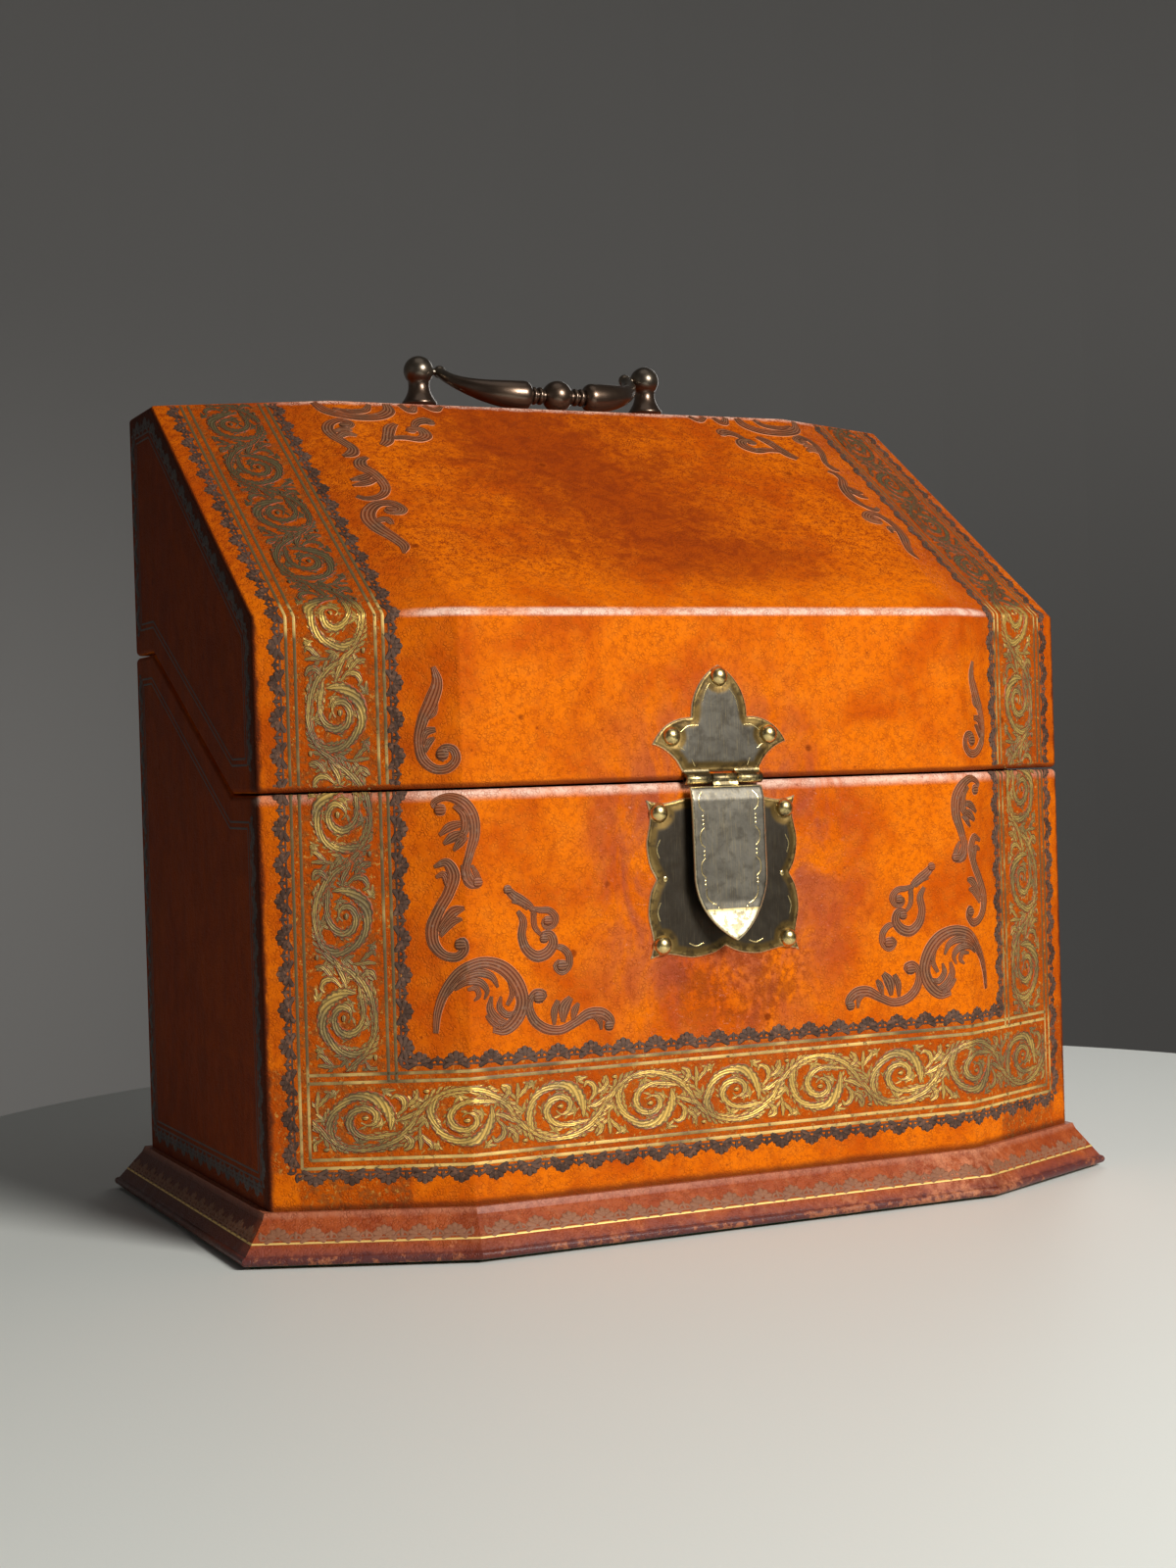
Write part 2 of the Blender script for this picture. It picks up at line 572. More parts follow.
def brass_finish(name, worn):
    """Old brass. worn is the share that is bright rather than tarnished."""
    bright, tarnish = shades("metal", "brass", "tarnish")
    f, p = started(name)
    blotch = f.noise(p, 0.006, 4.0, 0.62, 0.8)
    fine = f.noise(p, 0.0009, 3.0, 0.6)
    hairs = f.noise(f.stretched(p, (1.0, 1.0, 0.06)), 0.00035, 2.0)
    spread = (blotch * 0.7 + fine * 0.3).rise(0.66 - worn * 0.42, 0.80 - worn * 0.42)
    f.start(spread, toned(tarnish, bright, 0.10), bright)
    f.over(hairs.rise(0.52, 0.70) * 0.35, toned(tarnish, bright, 0.55))
    normal = f.bump(hairs + blotch * 0.4, 0.00005, 0.5)
    return f.set(Metallic=1.0, Roughness=0.34 - spread * 0.12 + fine * 0.12, Normal=normal)


def plate_finish(name, field, cloud=0.45, scratched=0.28, rim=(0.125, 0.078, 0.022), worn=(0.34, 0.23, 0.08)):
    """The hasp's sheet brass: a thin bright edge, a bevel in the rim's colour and a dark scratched field."""
    bright, tarnish = shades("metal", "brass", "tarnish")
    f, p = started(name)
    inward, edge = f.across()
    blotch = f.noise(p, 0.007, 4.0, 0.62, 0.8)
    fine = f.noise(p, 0.0008, 3.0, 0.65)
    hairs = f.noise(f.stretched(p, (1.0, 1.0, 0.05)), 0.0004, 2.0)
    dull, cloudy = (toned(tarnish, (0.20, 0.185, 0.150), by) for by in (field, field + cloud))
    f.start(blotch.rise(0.35, 0.70) * 0.60, dull, cloudy)
    f.over(hairs.rise(0.50, 0.72) * scratched, toned(tarnish, bright, 0.40))
    f.over((inward + (blotch - 0.5) * 0.30).rise(0.95, 0.60), rim or bright)
    f.over((inward + (blotch - 0.5) * 1.1).rise(0.50, 0.05) * 0.62, worn)
    stained = f.noise(p, 0.0032, 3.0, 0.6)
    f.over(inward.rise(0.85, 0.35) * stained.rise(0.50, 0.62) * 0.70, (0.040, 0.024, 0.008))
    f.over(inward.rise(0.20, 0.60) * stained.rise(0.48, 0.66) * 0.38, toned(tarnish, (0.03, 0.02, 0.01), 0.6))
    f.over((edge + (fine - 0.5) * 0.4).rise(0.50, 0.25), toned(bright, (0.95, 0.88, 0.62), 0.5))
    rough = 0.34 + blotch * 0.12 + fine * 0.10 - edge.rise(0.95, 0.55) * 0.10
    return f.set(Metallic=0.85, Roughness=rough, Normal=f.bump(hairs + fine, 0.00004, 0.5))


def bronze_finish():
    """The handle's dark bronze, browner low on the posts and the bail."""
    bronze, = shades("metal", "bronze")
    f, p = started("dark_bronze")
    blotch = f.noise(p, 0.007, 3.0, 0.55, 0.4)
    fine = f.noise(p, 0.0006, 3.0, 0.6)
    under = f.parts(p)[2].rise(0.2985, 0.2945)
    f.start(blotch.rise(0.38, 0.68) * 0.7, bronze, toned(bronze, (0.30, 0.22, 0.15), 0.35))
    f.over(under * 0.45, (0.10, 0.042, 0.022))
    f.over(fine.rise(0.62, 0.74) * 0.2, (0.28, 0.22, 0.15))
    return f.set(Metallic=0.9, Roughness=0.24 + fine * 0.08 + blotch * 0.06,
                 Normal=f.bump(fine + blotch, 0.00004, 0.4), Coat_Weight=0.25, Coat_Roughness=0.12)


def steel_finish():
    f, p = started("dulled_steel")
    fine = f.noise(p, 0.0005, 3.0, 0.6)
    blotch = f.noise(p, 0.003, 3.0, 0.6)
    steel, = shades("metal", "steel")
    f.start(blotch.rise(0.4, 0.7) * 0.6, steel, dimmed(steel, 0.45))
    return f.set(Metallic=1.0, Roughness=0.38 + fine * 0.2, Normal=f.bump(fine, 0.00003, 0.4))


def wood_finish(name, kind, along, rough):
    """Sawn board whose grain runs along one axis of the frame."""
    shade, = shades("inside", kind)
    f, p = started(name)
    grown = f.stretched(p, tuple(0.07 if axis == along else 1.0 for axis in "XYZ"))
    rings = f.noise(grown, 0.006, 3.0, 0.6, 2.2)
    fibre = f.noise(grown, 0.0008, 2.0, 0.6)
    lines = (rings * 9.549).ripple()
    f.start(lines * 0.6, shade, dimmed(shade, 0.55))
    f.over(fibre.rise(0.52, 0.70) * 0.5, dimmed(shade, 0.42))
    return f.set(Roughness=rough + fibre * 0.15, Normal=f.bump(fibre + lines * 0.3, 0.0001, 0.5))


def paper_finish():
    f, p = started("lining_paper")
    paper, = shades("inside", "paper")
    fibre = f.noise(p, 0.0006, 3.0, 0.7)
    foxing = f.cells(p, 0.014)
    clouds = f.noise(p, 0.03, 4.0, 0.6)
    f.start(clouds.rise(0.35, 0.70) * 0.6, paper, dimmed(paper, 0.72))
    f.over(foxing.rise(0.14, 0.05) * 0.5, (0.30, 0.17, 0.07))
    f.over(fibre.rise(0.55, 0.75) * 0.25, (0.70, 0.62, 0.48))
    return f.set(Roughness=0.85, Normal=f.bump(fibre, 0.00008, 0.6))


def felt_finish():
    f, p = started("green_felt")
    felt, = shades("inside", "felt")
    fluff = f.noise(p, 0.0007, 4.0, 0.7, 1.5)
    clouds = f.noise(p, 0.02, 3.0, 0.6)
    f.start(fluff.rise(0.35, 0.70), dimmed(felt, 0.55), toned(felt, (0.12, 0.22, 0.12), 0.4))
    f.over(clouds.rise(0.4, 0.7) * 0.4, dimmed(felt, 0.7))
    return f.set(Roughness=0.95, Normal=f.bump(fluff, 0.0003, 0.8), Sheen_Weight=0.3)


# The makers of the finishes, each with what it is given
MAKERS = {
    "leather": (leather_finish,),
    "plinth": (plinth_finish,),
    "gold": (gold_finish,),
    "ruled": (ruled_finish,),
    "blind": (blind_finish,),
    "lace": (lace_finish,),
    "plinth_lace": (lace_finish, "plinth_lace_tooling", 0.75),
    "border": (border_finish,),
    "plate": (plate_finish, "plate_brass", 0.30),
    "dark_plate": (plate_finish, "dark_plate_brass", -0.10, 0.12, 0.08),
    "strap": (plate_finish, "strap_brass", 0.50, 0.45, 0.28, None, (0.95, 0.88, 0.62)),
    "plate_mark": (brass_finish, "engraved_mark", 0.05),
    "dome": (brass_finish, "dome_brass", 0.72),
    "brass": (brass_finish, "old_brass", 0.62),
    "polished": (brass_finish, "polished_brass", 0.95),
    "knuckle": (brass_finish, "knuckle_brass", 0.42),
    "bronze": (bronze_finish,),
    "steel": (steel_finish,),
    "paper": (paper_finish,),
    "felt": (felt_finish,),
    "board": (wood_finish, "case_wood", "board", "X", 0.6),
    "rack": (wood_finish, "rack_wood", "rack", "X", 0.32),
    "rack_side": (wood_finish, "rack_side_wood", "rack", "Y", 0.32),
}
finishes = {}


def finish(name):
    """Each finish is made once, from the settings as they are when it is first used."""
    if name not in finishes:
        maker, *given = MAKERS[name]
        finishes[name] = maker(*given)
    return finishes[name]


def dress(node, name):
    """Gives a node of the frame its finish."""
    for each in frame["nodes"][node].material_slots:
        each.link = "OBJECT"
        each.material = finish(name)


# The leather's surface

def eased(t, at, reach):
    """How far t is past a crease: 0 before it and t - at after it, rounded within reach of it."""
    over = np.clip((t - at + reach) / (2 * reach), 0, 1)
    return np.where(t < at + reach, reach * over ** 2, t - at)


def front_point(u, s):
    """Points of the tooled front, in millimetres."""
    turned = eased(np.abs(u), FACET, CREASE_EASE)
    flat = np.abs(u) - turned
    x = np.sign(u) * (flat + turned * math.cos(WING_TURN))
    y = FRONT_Y + turned * math.sin(WING_TURN)
    up = eased(s, FOLD_Z, FOLD_EASE)
    z = s - up + up * SLOPE_RISE / SLOPE
    y = y + up * SLOPE_RUN / SLOPE
    below = np.clip(s - (SEAM_Z - EDGE_ROUND), 0, EDGE_ROUND) * (s < SEAM_Z + SEAM_GAP / 2)
    above = np.clip(SEAM_Z + SEAM_GAP + EDGE_ROUND - s, 0, EDGE_ROUND) * (s > SEAM_Z + SEAM_GAP / 2)
    into = EDGE_ROUND - np.sqrt(EDGE_ROUND ** 2 - (below + above) ** 2)
    wing = np.clip(np.abs(u) - FACET, 0, 1)
    x = x - into * np.sign(u) * wing * math.sin(WING_TURN)
    y = y + into * (1 - wing * (1 - math.cos(WING_TURN)))
    return np.stack([x, y, z], -1)


def on_front(u, s, lift):
    """Points that stand off the tooled front by lift."""
    small = 0.04
    here = front_point(u, s)
    du = front_point(u + small, s) - front_point(u - small, s)
    ds = front_point(u, s + small) - front_point(u, s - small)
    out = np.cross(du, ds)
    return here + out / np.linalg.norm(out, axis=-1, keepdims=True) * lift[..., None]


def on_plane(origin, across, up):
    """The same for a flat face: across and up are unit vectors in it."""
    origin, across, up = (np.array(v, float) for v in (origin, across, up))
    out = np.cross(across, up)

    def place(u, s, lift):
        return origin + u[..., None] * across + s[..., None] * up + lift[..., None] * out

    return place


# Strokes of the tools. A profile is a row of points across a stroke, as (share of its half width, height).

PRESSED = ((-1, -0.05), (-0.95, 0.10), (-0.84, 0.24), (-0.70, 0.10), (-0.50, 0.20), (-0.25, 0.08), (0, 0.20),
           (0.25, 0.08), (0.50, 0.20), (0.70, 0.10), (0.84, 0.24), (0.95, 0.10), (1, -0.05))
KNOB = ((-1, -0.04), (-0.86, 0.20), (-0.45, 0.42), (0, 0.50), (0.45, 0.42), (0.86, 0.20), (1, -0.04))
LEAF = ((-1, -0.04), (-0.6, 0.11), (0, 0.06), (0.6, 0.11), (1, -0.04))
LINE = ((-1, -0.04), (-0.6, 0.07), (0.6, 0.07), (1, -0.04))


def smooth_line(points, step):
    """Evenly spaced rows (x, y, half width) on a smooth curve through the given rows."""
    points = np.array(points, float)
    gaps = np.maximum(np.linalg.norm(np.diff(points[:, :2], axis=0), axis=1), 1e-6)
    at = np.concatenate([[0], np.cumsum(gaps)])
    if len(points) > 2:
        slope = np.gradient(points, at, axis=0)
    else:
        slope = np.repeat((points[1:] - points[:1]) / at[1], 2, axis=0)
    count = max(3, int(round(at[-1] / step)) + 1)
    t = np.linspace(0, at[-1], count)
    k = np.clip(np.searchsorted(at, t, side="right") - 1, 0, len(at) - 2)
    h = gaps[k][:, None]
    w = ((t - at[k]) / gaps[k])[:, None]
    rows = ((2 * w ** 3 - 3 * w ** 2 + 1) * points[k] + (w ** 3 - 2 * w ** 2 + w) * h * slope[k]
            + (3 * w ** 2 - 2 * w ** 3) * points[k + 1] + (w ** 3 - w ** 2) * h * slope[k + 1])
    rows[:, 2] = np.maximum(rows[:, 2], 0.04)
    return rows


class Tooling:
    """Strokes gathered as points (x, y, height), four-sided faces and places across and along the stroke."""

    def __init__(self, *parts):
        self.points, self.faces, self.places, self.count = [], [], [], 0
        if parts:
            self.add(*parts)

    def add(self, points, faces, places):
        self.points.append(points)
        self.faces.append(faces + self.count)
        self.places.append(places)
        self.count += len(points)

    def stroke(self, line, profile=LEAF, step=0.7, lift=0.0):
        """Adds the ribbon that follows a line and has the profile across it."""
        rows = smooth_line(line, step)
        ahead = np.gradient(rows[:, :2], axis=0)
        ahead /= np.maximum(np.linalg.norm(ahead, axis=1, keepdims=True), 1e-9)
        left = np.stack([-ahead[:, 1], ahead[:, 0]], -1)
        across = np.array([p[0] for p in profile])
        height = np.array([p[1] for p in profile])
        slim = np.minimum(rows[:, 2] / 0.6, 1.0)
        n, m = len(rows), len(profile)
        points = np.zeros((n, m, 3))
        points[..., :2] = rows[:, None, :2] + left[:, None] * (rows[:, 2, None] * across)[..., None]
        points[..., 2] = np.where(height > 0, height * slim[:, None], height) + lift
        run = np.concatenate([[0], np.cumsum(np.linalg.norm(np.diff(rows[:, :2], axis=0), axis=1))])
        places = np.stack(np.broadcast_arrays((across + 1) / 2, run[:, None]), -1)
        i, j = np.meshgrid(np.arange(n - 1), np.arange(m - 1), indexing="ij")
        a = (i * m + j).ravel()
        faces = np.stack([a, a + m, a + m + 1, a + 1], -1)[:, ::-1]
        self.add(points.reshape(-1, 3), faces, places.reshape(-1, 2))

    def strokes(self, lines, **options):
        """Adds several lines, each a little higher than the last, so that none lies in another."""
        for k, line in enumerate(lines):
            self.stroke(line, lift=0.012 * (k % 5), **options)

    def whole(self):
        return np.concatenate(self.points), np.concatenate(self.faces), np.concatenate(self.places)

    def stamp(self, tool, along, origin, flip):
        """Adds a tool's strokes with its x axis along a unit vector. flip turns it over about that axis."""
        points, faces, places = tool.whole()
        a = np.array(along, float)
        b = np.array([-a[1], a[0]]) * (-1 if flip else 1)
        flat = np.array(origin, float) + points[:, :1] * a + points[:, 1:2] * b
        self.add(np.concatenate([flat, points[:, 2:]], 1), faces[:, ::-1] if flip else faces, places)

    def turned_over(self):
        """The mirror image of the strokes about x = 0."""
        points, faces, places = self.whole()
        return Tooling(points * np.array([-1, 1, 1]), faces[:, ::-1], places)

    def mirrored(self):
        """The same strokes with their mirror image."""
        return merged(self, self.turned_over())

    def trimmed(self, axis, low, high):
        """Drops what lies outside a range of x (axis 0) or y (axis 1), cut along its limits."""
        points, faces, places = self.whole()
        at = points[faces, axis]
        keep = (at.max(1) > low) & (at.min(1) < high)
        points[:, axis] = np.clip(points[:, axis], low, high)
        return Tooling(points, faces[keep], places)

    def piece(self, name, place, finish_name, slot, body):
        """Makes the strokes on a surface into one mesh."""
        points, faces, places = self.whole()
        used, faces = np.unique(faces, return_inverse=True)
        points = place(*points[used].T)
        return make_mesh(name, points, faces.reshape(-1, 4).tolist(), finish_name, slot, body, places[used])


def merged(*parts):
    """Several sets of strokes as one."""
    made = Tooling()
    for part in parts:
        made.add(*part.whole())
    return made


def make_mesh(name, points, faces, finish_name, slot, body, places=None, smooth=True):
    """A piece from points in millimetres and faces as lists of their numbers."""
    mesh = bpy.data.meshes.new(name)
    mesh.from_pydata((points * MM).tolist(), [], faces)
    if places is not None:
        layer = mesh.uv_layers.new(name="tooling")
        corners = np.zeros(len(mesh.loops), dtype=np.int32)
        mesh.loops.foreach_get("vertex_index", corners)
        layer.data.foreach_set("uv", places[corners].ravel())
    mesh.materials.append(finish(finish_name))
    if smooth:
        mesh.shade_smooth()
    mesh.update()
    piece = bpy.data.objects.new(name, mesh)
    bpy.context.collection.objects.link(piece)
    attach(piece, body)
    return piece


def solid(name, points, faces, finish_name, slot, body, replaced=None, **options):
    """A closed piece with its faces turned outward, in place of a node of the frame where one is given."""
    piece = make_mesh(name, points, faces, finish_name, slot, body, **options)
    made = bmesh.new()
    made.from_mesh(piece.data)
    bmesh.ops.recalc_face_normals(made, faces=made.faces)
    made.to_mesh(piece.data)
    made.free()
    if replaced:
        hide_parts(replaced)


# The tools themselves

def lobe(x, y, heading, reach, bend, width):
    """One lobe of a leaf: it swells past its middle and ends in a round tip."""
    rows, last = [], 0
    for t, share in ((0, 0.5), (0.25, 0.85), (0.5, 1.0), (0.8, 0.97), (0.94, 0.70), (1.0, 0.15)):
        if t:
            heading += bend * (t - last)
            x += math.cos(heading) * reach * (t - last)
            y += math.sin(heading) * reach * (t - last)
        rows.append((x, y, width * share))
        last = t
    return rows


def feathers(stem, reach, lean, width, uneven, sides=(1, -1)):
    """Lobes that leave a stem on the given sides and lean forward along it, as a hand cuts them."""
    lines = []
    for (x0, y0, _), (x, y, _), (x1, y1, _) in zip(stem, stem[1:], stem[2:]):
        for side in sides:
            turn = side * lean * uneven.uniform(0.8, 1.2)
            long = reach * uneven.uniform(0.78, 1.15)
            heading = math.atan2(y1 - y0, x1 - x0) + turn
            lines.append(lobe(x, y, heading, long, -turn * 0.7, width * uneven.uniform(0.85, 1.15)))
    return lines


def flare(x, y, heading, reach, width):
    """A five-lobed leaf that opens from a point."""
    lines = [lobe(x, y, heading + turn * 1.25, reach * 0.55, turn * 0.8, width * 0.7) for turn in (1, -1)]
    lines += [lobe(x, y, heading + turn * 0.62, reach * 0.96, turn * 0.35, width) for turn in (1, -1)]
    return lines + [lobe(x, y, heading, reach, 0.0, width)]


# The leaves of one gold scroll, as rows (x, y, half width) about the middle of its curl
SCROLL = (
    ((-4.2, -8.9, 0.5), (-6.9, -6.6, 0.95), (-8.2, -2.8, 1.25), (-7.7, 1.6, 1.20), (-5.4, 5.3, 1.35),
     (-1.8, 7.4, 1.55), (2.5, 6.9, 1.95), (5.6, 3.9, 1.85), (6.9, -0.2, 1.15), (6.6, -3.2, 0.35)),
    ((8.6, -4.2, 0.35), (5.4, -4.6, 0.95), (1.4, -5.2, 0.95), (-2.2, -3.7, 1.15), (-3.7, -0.4, 1.30),
     (-2.5, 2.8, 1.35), (0.5, 3.8, 1.30), (2.8, 2.0, 1.15), (2.5, -0.8, 0.85), (0.6, -1.6, 0.40),
     (-0.8, -0.4, 0.30)),
    ((-13.0, 0.6, 0.85), (-10.6, -3.0, 1.15), (-7.4, -6.6, 0.75), (-2.4, -9.0, 0.75), (3.0, -8.7, 1.10),
     (7.8, -6.2, 1.10), (11.0, -2.4, 1.00), (13.0, 1.2, 0.80)),
    ((-9.8, -3.4, 0.4), (-12.4, -1.6, 1.15), (-15.2, -0.2, 0.95), (-17.4, 0.2, 0.3)),
    ((9.6, -4.6, 0.4), (11.4, -6.4, 1.05), (11.2, -8.6, 0.9), (9.8, -9.4, 0.3)),
    ((-11.2, 2.4, 0.35), (-11.4, 4.6, 0.60), (-11.2, 6.6, 0.85), (-11.1, 9.4, 0.35)),
    ((-11.4, 4.4, 0.35), (-12.8, 6.2, 0.80), (-14.4, 7.2, 0.80), (-15.4, 8.8, 0.35)),
    ((-11.2, 4.4, 0.35), (-9.8, 6.4, 0.80), (-8.6, 7.6, 0.75), (-8.2, 9.4, 0.35)),
    ((8.2, 1.4, 0.35), (10.0, 3.8, 0.90), (9.6, 6.6, 1.05), (7.6, 7.6, 0.75), (6.8, 6.4, 0.30)),
    ((10.0, 3.6, 0.3), (12.2, 5.2, 0.85), (13.4, 7.2, 0.75), (13.2, 9.2, 0.30)),
    ((-10.2, -5.4, 0.35), (-12.2, -6.8, 0.85), (-12.0, -9.0, 0.60)),
)
# Its small leaves, as (x, y, heading in degrees), and its berries, as (x, y, radius)
SPRIGS = ((-4.9, 0.2, 20), (-1.4, -7.0, 70), (4.6, -1.4, 150), (8.9, -0.6, 60), (-9.6, 0.2, 130),
          (0.4, 5.6, -100), (4.4, -6.8, 60), (12.6, 3.6, 110), (-12.8, -4.4, 250), (-6.6, 8.4, 160),
          (5.0, 8.8, 10))
BERRIES = ((-9.4, -8.6, 0.8), (6.4, -9.0, 0.7), (0.4, 0.9, 0.9), (-13.9, 3.8, 0.7))
SCROLL_LENGTH = 25.0
SCROLL_REACH = 9.9
SCROLL_SEEDS = (3, 5, 8)


def scroll_tool(pitch, seed):
    """One scroll of the gold band, centred on its curl and cut a little unevenly."""
    uneven = random.Random(seed)
    lines = [[(x + uneven.uniform(-0.25, 0.25), y + uneven.uniform(-0.2, 0.2), w * uneven.uniform(0.9, 1.1))
              for x, y, w in row] for row in SCROLL]
    ring, curl, wave = [smooth_line(row, 1.9) for row in lines[:3]]
    fronds = []
    for stem, reach, lean, width, sides in (
            (ring[1:9], 3.3, 0.95, 0.62, (-1,)), (ring[3:], 2.9, 0.80, 0.58, (1,)),
            (curl[2:], 2.4, 0.85, 0.52, (1,)), (wave[1:], 4.0, 0.80, 0.66, (1, -1)),
            (curl[:5], 2.6, 0.90, 0.55, (-1,))):
        fronds += feathers(stem, reach, lean, width, uneven, sides)
    for x, y, turn in SPRIGS:
        fronds += flare(x, y, math.radians(turn), 3.2, 0.62)
    tool = Tooling()
    tool.strokes(fronds, profile=LEAF, step=0.9)
    tool.strokes(lines, profile=PRESSED, step=0.8)
    for berry in BERRIES:
        tool.stroke(knob(*berry), KNOB, 0.4, 0.04)
    points, faces, places = tool.whole()
    points[:, 0] *= pitch / SCROLL_LENGTH
    points[:, 1] = np.clip(points[:, 1], -SCROLL_REACH, SCROLL_REACH)
    return Tooling(points, faces, places)


def palmette_tool(pitch):
    """One palmette of the edging: a fan of ribs between two buds, on the line y = 0."""
    half = pitch / 2
    lines = [[(-half, 0.35, 0.42), (0, 0.35, 0.42), (half, 0.35, 0.42)]]
    for lean, reach, width in ((96, 4.0, 0.85), (64, 3.3, 1.00), (32, 3.2, 1.05), (0, 3.3, 1.10)):
        for side in (1, -1) if lean else (1,):
            a = math.radians(90 - side * lean)
            bend = -side * math.radians(lean) * 0.30
            lines.append(lobe(0.6 * math.cos(a), 0.80 + 0.4 * math.sin(a), a, reach, bend, width))
    for side in (1, -1):
        lines.append([(side * (half - 2.2), 0.4, 0.3), (side * (half - 1.5), 1.6, 0.5),
                      (side * (half - 0.2), 2.1, 0.5)])
        lines.append([(side * half, 0.4, 0.35), (side * half, 1.7, 0.75), (side * half, 3.0, 0.30)])
    lines.append([(-2.7, 0.9, 0.3), (-1.7, 2.0, 0.5), (0, 2.5, 0.55), (1.7, 2.0, 0.5), (2.7, 0.9, 0.3)])
    tool = Tooling()
    tool.strokes(lines, profile=LEAF, step=0.5)
    return tool


def swelled(w):
    """Widens the broad parts of a flourish more than its thin ones."""
    return w * (0.86 + 0.40 * (w - 0.4))


def knob(x, y, r):
    """A round boss, as a short stroke."""
    half = ((-1, 0.12 / r), (-0.82, 0.60), (-0.3, 0.97), (0.3, 0.97), (0.82, 0.60), (1, 0.12 / r))
    return [(x + across * r, y, share * r) for across, share in half]


# Round ends of the flourishes, as (u, s, radius)
KNOBS = {
    "body": ((-94.2, 96.6, 1.9), (-68.6, 78.5, 1.9), (-60.3, 88.0, 1.9), (-64.8, 102.4, 1.6),
             (-66.2, 96.9, 1.6), (-78.1, 112.8, 1.5), (-99.2, 138.4, 1.9), (-88.0, 115.6, 1.7),
             (-44.6, 67.9, 1.7)),
    "lid": ((-97.9, 155.6, 2.0),),
    "slope": ((-93.4, 263.8, 1.9), (-92.0, 323.8, 1.9), (-68.2, 321.0, 1.8), (-58.8, 327.4, 1.6)),
}

